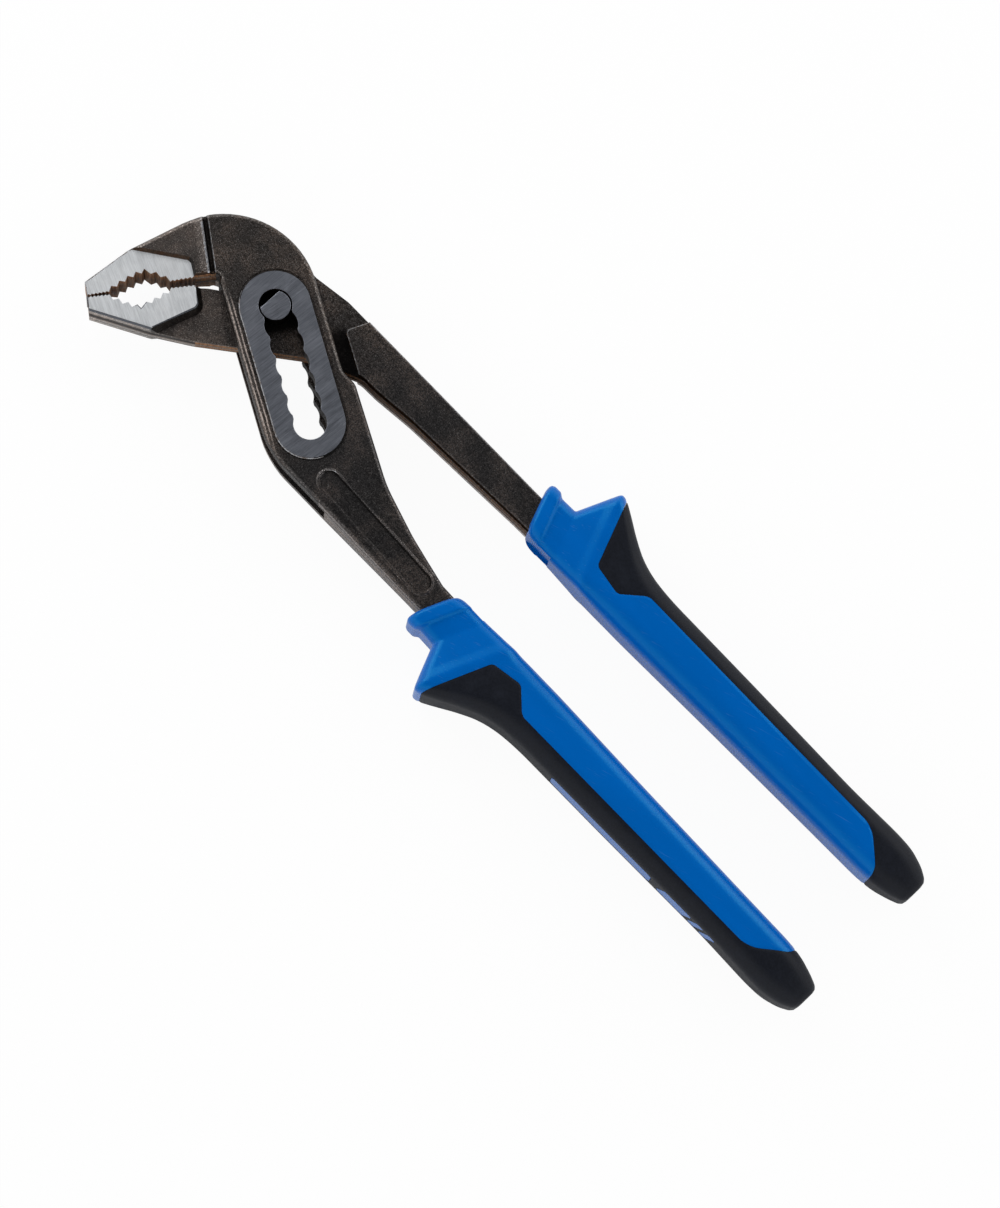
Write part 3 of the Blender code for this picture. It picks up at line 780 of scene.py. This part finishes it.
def forged_finish(name, colour, sizes, paint_gap_shade=False, paint_ridge_highlights=False):
    """Dark oxidised forging: sandy grain, brown patches, a paler band where the flash was trimmed, and
    painted light: glints on the specks, a highlight past the neck step and, when asked, ridge highlights and
    gap shade.
    """
    material, f = start_finish(name)
    grain = sizes.grain / MM
    place = f.place()
    fine = f.noise(place, 1.0 / grain, 2.0, 0.6)
    coarse = f.noise(place, 0.4 / grain, 2.0, 0.5)
    patches = f.noise(place, 0.1, 3.0, 0.6).over(0.38, 0.64)
    specks = f.noise(place, 1.5 / grain, 1.0, 0.5).over(0.60, 0.68)
    height = (f.part(place, "Z") - PIN_PLACE.z / MM).step("ABSOLUTE")
    back = f.part(place, "X") - PIN_PLACE.x / MM
    neck = f.part(f.place(NECK_TURN), "Y") - neck_place(PIN_PLACE / MM) - 2 * NECK_LINE
    base = f.mix(patches, tint(colour, 0.8, 0.86, 0.9), tint(colour, 1.3, 1.2, 1.12))
    base = f.mix(fine.over(0.38, 0.60), shade(colour, 0.32), base)
    # specks of real grain, lightened further as painted glints
    base = f.mix(specks * 0.7, base, tint(colour, 3.8, 4.2, 4.5))
    base = f.mix((1 - coarse.over(0.32, 0.52)) * 0.55, base, shade(colour, 0.25))
    base = f.mix(back.over(15, 40) * 0.4, base, tint(colour, 0.28, 0.36, 0.46))
    # painted highlight: the jaw side of the neck step is lightened, more on the specks, for the light falling
    # there
    base = f.mix((1 - neck.over(-0.1, 0.3)) * (0.1 + 0.45 * specks), base, shade(colour, 4.0))
    base = f.mix((1 - height.over(0.2, 0.9)) * fine.over(0.25, 0.5) * 0.6, base, shade(colour, 3.0))
    if paint_gap_shade or paint_ridge_highlights:
        spot = f.place(SLOT_TURN)
        pin_along, pin_aside = slot_place(PIN_PLACE.x / MM, PIN_PLACE.y / MM)
        along, aside = f.part(spot, "X") - pin_along, f.part(spot, "Y") - pin_aside
    if paint_ridge_highlights:
        # Painted highlight lines, a millimetre apart, along the box on the open side of the ring; lighter on
        # the flat than on the rounded rim, so that both read alike
        wander = f.noise(f.place(SLOT_TURN, (0.12, 0.5, 1.0)), 1.0, 2.0, 0.6)
        lines = ((aside + 11.9 + 0.5 * wander) * (2 * math.pi)).step("COSINE")
        lines = lines.over(0.0, 0.9) * fine.over(0.3, 0.55)
        band = (1 - aside.over(-RING_RADIUS - 0.7, -RING_RADIUS - 0.4)) * height.over(3.0, 4.0)
        band = band * along.over(-8, 0) * (1 - along.over(TRAVEL - 4, TRAVEL + 6))
        bright = f.mix(aside.over(-11.3, -10.6), shade(colour, 2.6), shade(colour, 7.0))
        base = f.mix(band * lines, base, bright)
    if paint_gap_shade:
        # Painted shade on the tongue, in the slot near the pin and in the corner by the shoulder
        slot = (1 - aside.step("ABSOLUTE").over(6.0, 9.0)) * (1 - 0.62 * along.over(4.8, 7.2))
        corner = aside.over(9.5, 11.5) * (1 - aside.over(15.0, 16.5)) * along.over(7.5, 10.5)
        low = 1 - height.over(TONGUE_HALF + 0.1, TONGUE_HALF + 0.9)
        base = f.mix(low * slot.step("MAXIMUM", corner) * 0.92, base, PAINTED_GAP_SHADE)
    f.surface({"Base Color": base, "Metallic": 1.0,
               "Roughness": 0.30 + 0.18 * fine + 0.1 * patches - 0.1 * specks,
               "Normal": f.bump(0.65 * fine + 0.35 * coarse, 0.11)})
    return material


def wear_and_painted_highlight_finish(name, colour, sizes):
    """Edge of the forging rubbed bright in places, lightened and cooled further as a painted highlight."""
    material, f = start_finish(name)
    rubbed = f.noise(f.place(), 0.5 * MM / sizes.grain, 3.0, 0.65).over(0.36, 0.62)
    base = f.mix(rubbed, shade(colour, 1.2), WEAR_AND_PAINTED_HIGHLIGHT_COLOUR)
    f.surface({"Base Color": base, "Metallic": 1.0, "Roughness": 0.44 - 0.14 * rubbed,
               "Normal": f.bump(rubbed, 0.03)})
    return material


def ground_finish(name, colour, sizes, turn, contrast, rough):
    """Ground steel: long fine scratches in one direction, a few deeper ones, and faint stains."""
    material, f = start_finish(name)
    spacing = sizes.scratch / MM
    lines = f.noise(f.place(turn, (0.04, 1.0, 1.0)), 1.0 / spacing, 4.0, 0.7)
    broad = f.noise(f.place(turn, (0.05, 1.0, 1.0)), 0.22 / spacing, 2.0, 0.5)
    cuts = f.noise(f.place(turn + 3.0, (0.03, 1.0, 1.0)), 0.7 / spacing, 1.0, 0.5).over(0.63, 0.72)
    stains = f.noise(f.place(), 0.16, 3.0, 0.6).over(0.42, 0.72)
    tone = (0.72 * lines + 0.28 * broad).over(0.3, 0.7)
    base = f.mix(tone, shade(colour, 1 - contrast), shade(colour, 1 + contrast))
    base = f.mix(cuts * 0.5, base, shade(colour, 1 - 1.6 * contrast))
    base = f.mix(stains * 0.22, base, tint(colour, 0.75, 0.72, 0.70))
    f.surface({"Base Color": base, "Metallic": 0.92,
               "Roughness": rough + 0.16 * lines + 0.08 * stains - 0.08,
               "Normal": f.bump(0.7 * lines + 0.3 * broad - 0.4 * cuts, 0.02)})
    return material


def tooth_finish(name, colour, metal=0.15, gloss=0.2):
    """Broached tooth walls and scaled sides: warm brown oxide with upright cutter marks."""
    material, f = start_finish(name)
    marks = f.noise(f.place(0.0, (1.0, 1.0, 0.06)), 3.2, 3.0, 0.6)
    rust = f.noise(f.place(), 0.9, 3.0, 0.6).over(0.35, 0.7)
    base = f.mix(marks.over(0.35, 0.65), shade(colour, 0.4), shade(colour, 1.4))
    base = f.mix(rust * 0.5, base, tint(colour, 1.5, 1.05, 0.8))
    f.surface({"Base Color": base, "Metallic": metal, "Roughness": 0.5 + 0.2 * rust,
               "Specular IOR Level": gloss, "Normal": f.bump(marks, 0.08)})
    return material


def plastic_finish(name, colour):
    """Satin moulded plastic: fine spark-eroded texture, slight flow marks and scuffs."""
    material, f = start_finish(name)
    texture = f.noise(f.place(), 3.4, 2.0, 0.6)
    flow = f.noise(f.place(0.0, (0.25, 1.0, 1.0)), 0.12, 2.0, 0.5).over(0.35, 0.7)
    scuffs = f.noise(f.place(18.0, (0.06, 1.0, 1.0)), 2.4, 2.0, 0.6).over(0.62, 0.76)
    base = f.mix(flow * 0.5, shade(colour, 0.96), shade(colour, 1.08))
    base = f.mix(scuffs * 0.10, base, SCUFF)
    f.surface({"Base Color": base, "Roughness": 0.20 + 0.06 * texture + 0.12 * scuffs,
               "Specular IOR Level": 0.45, "Specular Tint": (0.05, 0.6, 0.75, 1.0),
               "Normal": f.bump(texture, 0.003)})
    return material


def rubber_finish(name, colour):
    """Soft black overmould: matt, finely pebbled, with dusty low spots."""
    material, f = start_finish(name)
    place = f.place()
    pebble = f.noise(place, 2.2, 2.0, 0.55)
    dust = f.noise(place, 0.22, 3.0, 0.6).over(0.45, 0.75)
    base = f.mix(pebble.over(0.3, 0.7), shade(colour, 0.85), shade(colour, 1.2))
    base = f.mix(dust * 0.25, base, shade(colour, 2.0))
    f.surface({"Base Color": base, "Roughness": 0.42 + 0.1 * pebble + 0.08 * dust,
               "Specular IOR Level": 0.12, "Normal": f.bump(pebble, 0.02)})
    return material


# ---- add-on

def length(name, description, millimetres):
    """A size that a user can change."""
    return FloatProperty(name=name, description=description, default=millimetres * MM, min=0.0,
                         precision=5, subtype="DISTANCE", unit="LENGTH")


def paint(name, description, colour):
    """A colour that a user can change."""
    return FloatVectorProperty(name=name, description=description, default=colour, min=0.0, max=1.0,
                               size=3, subtype="COLOR")


class PliersSizes(bpy.types.PropertyGroup):
    """Sizes of the pieces' details"""
    outer_rim: length("Outer arm rim", "Rounding of the outer arm's edges", 1.25)
    inner_rim: length("Inner arm rim", "Rounding of the inner arm's edges", 0.65)
    ridge: length("Parting ridge", "How far the forging's parting ridge stands out", 0.14)
    tooth: length("Tooth depth", "Depth of the coarse teeth", 1.0)
    chamfer: length("Slot chamfer", "Chamfer of the slot's mouth and the pin's ends", 0.22)
    groove: length("Grip groove", "Depth of the groove between the grip's two colours", 0.16)
    grain: length("Forging grain", "Size of the pits in the forged surface", 0.38)
    scratch: length("Grinding lines", "Distance between grinding lines", 0.16)


class PliersColours(bpy.types.PropertyGroup):
    """Colours of the finishes and the floor"""
    forged: paint("Forged steel", "Dark oxidised steel of both arms", (0.105, 0.089, 0.080))
    jaws: paint("Ground jaws", "Bright ground faces of the jaws", (0.80, 0.82, 0.835))
    ring: paint("Ground ring", "Ground ring round the slot, and the pin's ends", (0.222, 0.235, 0.268))
    teeth: paint("Tooth walls", "Brown oxide on the teeth", (0.21, 0.118, 0.062))
    sleeve: paint("Grip sleeve", "Blue plastic of the grips", (0.0, 0.105, 0.43))
    cover: paint("Grip cover", "Black soft cover of the grips", (0.0068, 0.0082, 0.0126))
    floor: paint("Floor", "Floor under the tool", (0.9, 0.9, 0.9))


class PLIERS_OT_outer_arm(bpy.types.Operator):
    """Forge the outer arm: upper jaw, slotted box with its ground ring, and shank"""
    bl_idname = "pliers.outer_arm"
    bl_label = "Outer Arm"

    def execute(self, context):
        sizes, colours = context.scene.pliers_sizes, context.scene.pliers_colours
        # Places in the list of finishes below
        FORGED, JAWS, RING, TEETH, PAINTED_SHADE, WEAR_AND_PAINTED_HIGHLIGHT, OXIDE_IN_PAINTED_SHADE, PAINTED_REFLECTION = range(8)
        turn = math.radians(SLOT_TURN)
        bend = (MIDLINE - SHANK_OUTER + BOX_SIDE * math.cos(turn)) / math.sin(turn)
        nose, brow = Vector((JAW_TIP[0] - 3.2, JAW_TIP[1] + 2.1)), Vector(jaw_point(12, 10))
        path = [jaw_point(-0.6, -1.0), tuple(nose + (nose - brow).normalized() * 0.6), tuple(brow) + (5.0,),
                Sweep((-9, -9), 24, 163, 63), slot_point(FLARE[0], BOX_SIDE) + (3.0,),
                slot_point(FLARE[1], FLARED_SIDE) + (3.5,),
                slot_point(TRAVEL + 20, FLARED_SIDE + 0.4) + (30.0,), (66.0, -15.2, 30.0)]
        path += shank_end(-1)
        path += [slot_point(bend, -BOX_SIDE) + (24.0,), slot_point(-9.5, -BOX_SIDE) + (3.0,),
                 (-15.6, -4.4, 1.5), jaw_point(JAW_LENGTH, 0), jaw_point(JAW_LENGTH - 0.05, -1.0)]
        arm = forge(path, BOX_HALF, sizes.outer_rim / MM, sizes.ridge / MM, OUTER_LINE)

        step = [(place, (NECK_HALF + height) / BOX_HALF) for place, height in NECK_STEP]
        section_lines(arm, neck_point(0), neck_point(1) - neck_point(0), [stop[0] for stop in step])
        for vert in arm.verts:
            vert.co.z *= ramp(neck_place(vert.co), step)
        thin_shank(arm, BOX_HALF)

        face = [(-60, -60), (-60, -16.0), (-36.5, -15.95), (-23.3, -6.3, 2.2), (-18.0, -9.5), (-10, -40)]
        arm = carve(arm, hollow(face, NECK_HALF + 0.05, JAW_HALF, 0.75))
        ends = (slot_point(0, 0), slot_point(TRAVEL, 0))
        ring = stack(stadium(*ends, RING_RADIUS), [(0.0, RING_HALF - 0.3), (0.12, 0.18), (0.2, 0.12)])
        seat = twin(stadium(*ends, RING_RADIUS + 0.4), BOX_HALF - 0.22, [(0.0, CLEAR)])
        arm = carve(carve(arm, seat), mirrored(ring, MERGE), "UNION")

        rim = stack(stadium(*PANEL_ENDS, PANEL_HALF + 0.7), [(0.0, CLEAR), (0.3, 0.2), (0.35, 0.1)])
        sink = stack(stadium(*PANEL_ENDS, PANEL_HALF - 0.4),
                     [(0.0, 0.001), (-0.12, 0.18), (-0.28, 0.25), (-0.3, 0.3)])
        for bm, lift in ((rim, -CLEAR - 0.02), (sink, -0.28)):
            bmesh.ops.recalc_face_normals(cap(bm), faces=bm.faces)
            for vert in bm.verts:
                vert.co.z += BOX_HALF * ramp(vert.co.x, taper(BOX_HALF)) + lift
        arm = carve(carve(arm, rim, "UNION"), sink)

        arm = carve(arm, prism(slot_path()))
        edge, out = turned(WINDOW_RADIUS, 0, WINDOW_EDGE), turned(24, 0, 76)
        window = [Sweep((0, 0), WINDOW_RADIUS, 203, WINDOW_EDGE), (edge[0] + out[0], edge[1] + out[1]),
                  slot_point(4, 30), slot_point(TRAVEL + 22, 26), slot_point(TRAVEL + 22, -26),
                  slot_point(-12, -26)]
        arm = carve(arm, prism(window, -WINDOW_HALF, WINDOW_HALF))
        tip = [jaw_point(-4, -6), jaw_point(0, -6), jaw_point(0.03, 8), jaw_point(-4, 8)]
        arm = carve(arm, prism(tip))
        arm = carve(arm, prism(tooth_path(jaw_point, UPPER_APEX, 1, sizes.tooth / MM)))
        ease(arm, lambda middle, edge: level(edge, RING_HALF), sizes.chamfer / MM)
        ease_jaw(arm, 1, WEAR_AND_PAINTED_HIGHLIGHT)

        def rule(centre, normal):
            height, flatness = abs(centre.z), abs(normal.z)
            along, above = jaw_place(centre.x, centre.y)
            slot_along, aside = slot_place(centre.x, centre.y)
            from_slot = math.hypot(aside, slot_along - max(0.0, min(TRAVEL, slot_along)))
            from_neck = neck_place(centre)
            from_panel = stadium_distance(centre, *PANEL_ENDS) - PANEL_HALF
            # painted highlight on the ring chamfer's side facing minus Y, painted shade on the rest
            if height > RING_HALF - 0.3 and flatness < 0.95 and from_slot > RING_RADIUS - 0.6:
                return WEAR_AND_PAINTED_HIGHLIGHT if normal.y < -0.3 else PAINTED_SHADE
            if height > RING_HALF - 0.12:
                return RING
            if centre.x < -14 and abs(height - JAW_HALF) < 0.02 and flatness > 0.9:
                return JAWS
            if -0.3 < along < JAW_LENGTH + 5 and -2 < above < 4.8 and flatness < 0.3:
                return TEETH
            # painted shade on the walls round the jaw's ground face; where they face the tip it is brown
            # oxide in painted shade
            if (centre.x < -17 and JAW_HALF < height < NECK_HALF + 0.1 and 0.3 < flatness < 0.9
                    and normal.y < 0):
                return OXIDE_IN_PAINTED_SHADE if normal.x > 0.2 else PAINTED_SHADE
            # neck step: painted shade in its groove, edge wear and painted highlight on its edges
            if -2.0 < from_neck < 0 and height > JAW_HALF:
                return PAINTED_SHADE if -1.6 < from_neck < -0.35 else WEAR_AND_PAINTED_HIGHLIGHT
            # painted shade on the slot's walls
            if abs(aside) < SLOT_HALF_WIDTH + 1 and -5 < slot_along < TRAVEL + 5 and flatness < 0.3:
                return PAINTED_SHADE
            # painted shadow on the panel walls facing minus Y
            if centre.z > 0 and abs(from_panel) < 0.75:
                return PAINTED_SHADE if normal.y < -0.15 and from_panel < 0.05 else FORGED
            # edge wear and painted highlight along the rounded rims
            if 0.6 < flatness < 0.8 and height > SHANK_HALF - 1.4 and above > 9 and centre.x > 2:
                return WEAR_AND_PAINTED_HIGHLIGHT
            # walls facing minus Y: painted reflected light low down and near the grip, painted shade above
            if flatness < 0.3 and normal.y < -0.2:
                return PAINTED_REFLECTION if centre.z < 0.4 or centre.x > 38 else PAINTED_SHADE
            return FORGED

        # painted ridge highlights along the box
        finishes = [forged_finish("forged_steel", colours.forged, sizes, paint_ridge_highlights=True),
                    ground_finish("ground_jaws", colours.jaws, sizes, JAW_GRIND, contrast=0.15, rough=0.46),
                    ground_finish("ground_ring", colours.ring, sizes, 86.0, contrast=0.32, rough=0.36),
                    tooth_finish("tooth_walls", colours.teeth),
                    # painted shade
                    forged_finish("forged_painted_shade", shade(colours.forged, PAINTED_SHADE_SHARE), sizes),
                    wear_and_painted_highlight_finish("edge_wear_and_painted_highlight", colours.forged, sizes),
                    # brown oxide in painted shade
                    tooth_finish("oxide_step_in_painted_shade", shade(colours.teeth, PAINTED_SHADE_SHARE)),
                    # painted reflected light
                    forged_finish("side_painted_reflection", shade(colours.forged, PAINTED_REFLECTION_SHARE), sizes)]
        set_out("outer_arm_forging", arm, finishes, "outer_arm", "outer_arm", rule)
        return {"FINISHED"}


class PLIERS_OT_inner_arm(bpy.types.Operator):
    """Forge the inner arm: lower jaw, tongue and shank"""
    bl_idname = "pliers.inner_arm"
    bl_label = "Inner Arm"

    def execute(self, context):
        sizes, colours = context.scene.pliers_sizes, context.scene.pliers_colours
        # Places in the list of finishes below
        FORGED, JAWS, TEETH, EDGE, WEAR_AND_PAINTED_HIGHLIGHT, PAINTED_REFLECTION, PAINTED_SHADE, UPPER_PAINTED_SHADE, SCALED, LOWER_PAINTED_REFLECTION = range(10)
        chin, belly = Vector((JAW_TIP[0] + 3.2, JAW_TIP[1] - 2.5)), Vector((-17.2, -27.0))
        path = [lower_point(-1.2, 1.8), lower_point(JAW_LENGTH - 0.05, 1.8), lower_point(JAW_LENGTH, 0),
                (-15.6, -8.3, 2.0), (-13.6, -6.8, 2.0), Sweep((0, 0), HUB_RADIUS, 206, 86),
                (11.1, MIDLINE + SHANK_OUTER, 8.0)]
        path += reversed(shank_end(1))
        path += [(44.0, 4.7, 20.0), (33.0, 3.55, 10.0), (27.6, 3.4, 5.0), (14.4, -2.7, 12.0),
                 (-7.9, -20.7, 12.0), tuple(belly) + (8.0,), tuple(chin + (chin - belly).normalized() * 1.2)]
        arm = forge(path, JAW_HALF, sizes.inner_rim / MM, sizes.ridge / MM, INNER_LINE)
        thin_shank(arm, JAW_HALF)
        heel = [lower_point(JAW_LENGTH - 0.6, 4.0), slot_point(-5.4, -18.4) + (1.6,), (-17.4, -27.0),
                (-18.4, -32.0), (-4, -30), (-8, 0)]
        arm = carve(arm, hollow(heel, JAW_HALF + 0.05, TONGUE_HALF, 1.3))
        tongue = [lower_point(JAW_LENGTH + 2.4, 4.0), slot_point(-4.4, -16.6) + (1.6,), (-15.4, -26.0),
                  (-16.4, -32.0), slot_point(TRAVEL, -4), slot_point(TRAVEL - 4, SHOULDER_SIDE),
                  slot_point(10.2, SHOULDER_SIDE) + (1.2,), (18.9, 15.2), (20, 20), (-20, 20)]
        worn = 0.28
        steps = [(0.0, JAW_HALF - worn - TONGUE_HALF), (-worn, worn), (-0.5, 0.5), (0.0, CLEAR)]
        arm = carve(arm, twin(tongue, TONGUE_HALF, steps))
        bore = PIN_RADIUS + 0.05
        arm = carve(arm, prism([Sweep((0, 0), bore, 0, 178), Sweep((0, 0), bore, 180, 358)]))
        tip = [lower_point(-4, 6), lower_point(0, 6), lower_point(-0.12, -8), lower_point(-4, -8)]
        arm = carve(arm, prism(tip))
        arm = carve(arm, prism(tooth_path(lower_point, LOWER_APEX, -1, sizes.tooth / MM)))
        ease_jaw(arm, -1, EDGE)

        def rule(centre, normal):
            height, flatness = abs(centre.z), abs(normal.z)
            along, above = jaw_place(centre.x, centre.y)
            on_jaw = centre.x < JAW_ROOT and centre.y < -4
            if on_jaw and abs(height - JAW_HALF) < 0.02 and flatness > 0.9:
                return JAWS
            if -0.3 < along < JAW_LENGTH + 0.3 and above > -4.2 and flatness < 0.3:
                return TEETH
            if centre.x < -16 and centre.y < -12 and height > JAW_HALF - 0.75:
                return EDGE
            # painted shade on the jaw's sloping walls
            if on_jaw and height > TONGUE_HALF and 0.3 < flatness < 0.7:
                return PAINTED_SHADE
            # edge wear and painted highlight on the rims, but not on the shank's edges facing minus Y
            if 0.6 < flatness < 0.8 and height > SHANK_HALF - 0.8:
                return FORGED if normal.y < -0.3 and centre.x > 27 else WEAR_AND_PAINTED_HIGHLIGHT
            if flatness >= 0.3 or normal.y >= -0.2 or centre.xy.length <= HUB_RADIUS / 2:
                return FORGED
            # walls by height: painted shade high up, brown scale in the middle, painted reflected light low
            # down
            if centre.x > 20:
                if centre.z < -2.2:
                    return LOWER_PAINTED_REFLECTION
                return SCALED if -1.9 < centre.z < 2.2 else UPPER_PAINTED_SHADE
            if centre.x > 2:
                return TEETH
            # painted shade in a band of the wall, painted reflected light on the rest
            low, high = (-0.4, 1.9) if centre.x < -17 else (0.4, JAW_HALF)
            return PAINTED_SHADE if low < centre.z < high else PAINTED_REFLECTION

        # painted shade in the gap round the tongue
        finishes = [forged_finish("steel_with_painted_gap_shade", colours.forged, sizes, paint_gap_shade=True),
                    ground_finish("ground_jaws", colours.jaws, sizes, JAW_GRIND, contrast=0.15, rough=0.46),
                    tooth_finish("tooth_walls", colours.teeth),
                    ground_finish("ground_edge", shade(colours.ring, EDGE_SHADE), sizes, JAW_GRIND,
                                  contrast=0.2, rough=0.36),
                    wear_and_painted_highlight_finish("edge_wear_and_painted_highlight", colours.forged, sizes),
                    # painted reflected light
                    forged_finish("side_painted_reflection", shade(colours.forged, PAINTED_REFLECTION_SHARE), sizes),
                    # painted shade
                    forged_finish("forged_painted_shade", shade(colours.forged, PAINTED_SHADE_SHARE), sizes),
                    # painted shade on upper walls
                    tooth_finish("upper_side_painted_shade", shade(colours.teeth, UPPER_PAINTED_SHADE_SHARE), metal=0.0, gloss=0.0),
                    tooth_finish("scaled_side", shade(colours.teeth, SCALE_SHADE), metal=0.0, gloss=0.1),
                    # painted reflected light on lower walls
                    forged_finish("lower_side_painted_reflection", shade(colours.forged, LOWER_PAINTED_REFLECTION_SHARE), sizes)]
        set_out("inner_arm_forging", arm, finishes, "inner_arm", "inner_arm", rule)
        return {"FINISHED"}


class PLIERS_OT_pivot_pin(bpy.types.Operator):
    """Turn the pivot pin, with a flat on each end"""
    bl_idname = "pliers.pivot_pin"
    bl_label = "Pivot Pin"

    def execute(self, context):
        sizes, colours = context.scene.pliers_sizes, context.scene.pliers_colours
        # Places in the list of finishes below
        GROUND, SHANK = range(2)
        pin = bmesh.new()
        bmesh.ops.create_cone(pin, cap_ends=True, segments=72, radius1=PIN_RADIUS, radius2=PIN_RADIUS,
                              depth=2 * PIN_HALF)
        flat = [(-9, -9), (-PIN_FLAT, -9), (-PIN_FLAT, 9), (-9, 9)]
        pin = carve(pin, twin(flat, WINDOW_HALF, [(0.0, CLEAR)]))
        ease(pin, lambda middle, edge: level(edge, PIN_HALF), sizes.chamfer / MM)
        finishes = [ground_finish("ground_pin", colours.ring, sizes, 80.0, contrast=0.42, rough=0.36),
                    # the shank, inside the slot, darkened as painted shade
                    forged_finish("pin_body_painted_shade", shade(colours.forged, PIN_PAINTED_SHADE_SHARE), sizes)]
        set_out("pivot_pin_turned", pin, finishes, "pivot_pin", "pivot_pin",
                lambda centre, normal: GROUND if abs(centre.z) > PIN_HALF - 0.3 else SHANK)
        return {"FINISHED"}


class PLIERS_OT_grips(bpy.types.Operator):
    """Mould both grips: a blue sleeve and its black cover on each arm"""
    bl_idname = "pliers.grips"
    bl_label = "Grips"

    def execute(self, context):
        sizes, colours = context.scene.pliers_sizes, context.scene.pliers_colours
        groove = sizes.groove / MM
        edges = cover_edges()
        coarse = [place for place in grip_distances() if place < GRIP_LENGTH - 8.5][::3] + [GRIP_LENGTH - 8.0]

        seat = carve(cover_block((0, 0)), grip_solid(0, COVER_WALL + GAP, coarse, 8, 4))
        seat = carve(seat, stripe_blocks(0))
        sleeve = carve(grip_solid(groove, edges=edges), seat)
        room = SHANK_HALF + GAP
        sleeve = carve(sleeve, prism(shank_end(-1, GAP, SHANK_START - 12), -room, room))
        wall = MIDLINE - SHANK_INNER
        slit = [(SLIT[0], MIDLINE), (SLIT[0], wall), (SLIT[1], wall), (SLIT[1], MIDLINE)]
        sleeve = carve(sleeve, prism(slit, -room, room))

        cover = carve(grip_solid(groove, edges=edges), cover_block((0.05, 0.05)), "INTERSECT")
        cover = carve(cover, grip_solid(0, COVER_WALL, coarse, 8, 4))
        cover = carve(cover, stripe_blocks(0.12))

        blue = plastic_finish("blue_plastic", colours.sleeve)
        black = rubber_finish("black_rubber", colours.cover)
        for label, side in (("inner", other_side), ("outer", lambda bm: bm)):
            arm, grip = label + "_arm", label + "_grip"
            set_out(label + "_sleeve", side(sleeve), [blue], arm, grip + "_sleeve")
            set_out(label + "_cover", side(cover), [black], arm, grip + "_cover")
        return {"FINISHED"}


class PLIERS_OT_stage(bpy.types.Operator):
    """Set the floor, the light and the camera"""
    bl_idname = "pliers.stage"
    bl_label = "Stage"

    def execute(self, context):
        scene = context.scene
        scene.view_settings.view_transform = "Standard"

        bm = bmesh.new()
        bmesh.ops.create_grid(bm, x_segments=1, y_segments=1, size=FLOOR_SIZE)
        floor = put_in("floor", bm)
        material, f = start_finish("floor")
        seen = f.node("ShaderNodeLightPath", out="Is Camera Ray")
        glossy = f.node("ShaderNodeLightPath", out="Is Glossy Ray")
        paper = f.node("ShaderNodeBsdfDiffuse", None, {"Color": shade(scene.pliers_colours.floor, 1.0)})
        white = f.node("ShaderNodeEmission", None, {"Color": WHITE, "Strength": 1.0})
        mixed = f.node("ShaderNodeMixShader", None, {0: seen * 0.95 + glossy * 0.25, 1: paper, 2: white})
        f.node("ShaderNodeOutputMaterial", None, {"Surface": mixed})
        floor.data.materials.append(material)

        scene.world = bpy.data.worlds.new("studio")
        scene.world.use_nodes = True
        w = Finish(scene.world.node_tree)
        way = w.node("ShaderNodeTexCoord", out="Generated")
        tent = w.mix(w.part(way, "Z").over(0.45, 0.90), HORIZON, ZENITH)
        looked = w.node("ShaderNodeLightPath", out="Is Camera Ray")
        sky = w.node("ShaderNodeBackground", None, {"Color": w.mix(looked, tent, WHITE), "Strength": 1.0})
        w.node("ShaderNodeOutputWorld", None, {"Surface": sky})

        for name, place, size, power in LAMPS:
            lamp = bpy.data.lights.new(name, "AREA")
            lamp.shape, lamp.size, lamp.energy = "SQUARE", size, power
            holder = bpy.data.objects.new(name, lamp)
            holder.location = place
            holder.rotation_euler = (-Vector(place)).to_track_quat("-Z", "Y").to_euler()
            scene.collection.objects.link(holder)

        lens = bpy.data.cameras.new("view")
        lens.lens, lens.sensor_width, lens.sensor_fit = LENS, SENSOR, "AUTO"
        lens.clip_start, lens.clip_end = CLIP
        camera = bpy.data.objects.new("view", lens)
        turn = Matrix((CAMERA_RIGHT, CAMERA_UP, CAMERA_RIGHT.cross(CAMERA_UP))).transposed()
        camera.matrix_world = Matrix.Translation(CAMERA_PLACE) @ turn.to_4x4()
        scene.collection.objects.link(camera)
        scene.camera = camera
        return {"FINISHED"}


class PLIERS_PT_panel(bpy.types.Panel):
    """Sidebar panel with the sizes, the colours and the build steps"""
    bl_idname = "PLIERS_PT_panel"
    bl_label = "Water Pump Pliers"
    bl_space_type = "VIEW_3D"
    bl_region_type = "UI"
    bl_category = "Pliers"

    def draw(self, context):
        for group in (context.scene.pliers_sizes, context.scene.pliers_colours):
            column = self.layout.column(align=True)
            for name in group.__annotations__:
                column.prop(group, name)
        column = self.layout.column(align=True)
        for step in STEPS:
            column.operator(step.bl_idname)


STEPS = (PLIERS_OT_outer_arm, PLIERS_OT_inner_arm, PLIERS_OT_pivot_pin, PLIERS_OT_grips, PLIERS_OT_stage)
CLASSES = (PliersSizes, PliersColours) + STEPS + (PLIERS_PT_panel,)


def register():
    for kind in CLASSES:
        bpy.utils.register_class(kind)
    bpy.types.Scene.pliers_sizes = PointerProperty(type=PliersSizes)
    bpy.types.Scene.pliers_colours = PointerProperty(type=PliersColours)


def unregister():
    del bpy.types.Scene.pliers_colours
    del bpy.types.Scene.pliers_sizes
    for kind in reversed(CLASSES):
        bpy.utils.unregister_class(kind)


def main():
    register()
    bpy.ops.pliers.outer_arm()
    bpy.ops.pliers.inner_arm()
    bpy.ops.pliers.pivot_pin()
    bpy.ops.pliers.grips()
    bpy.ops.pliers.stage()


if __name__ == "__main__":
    main()
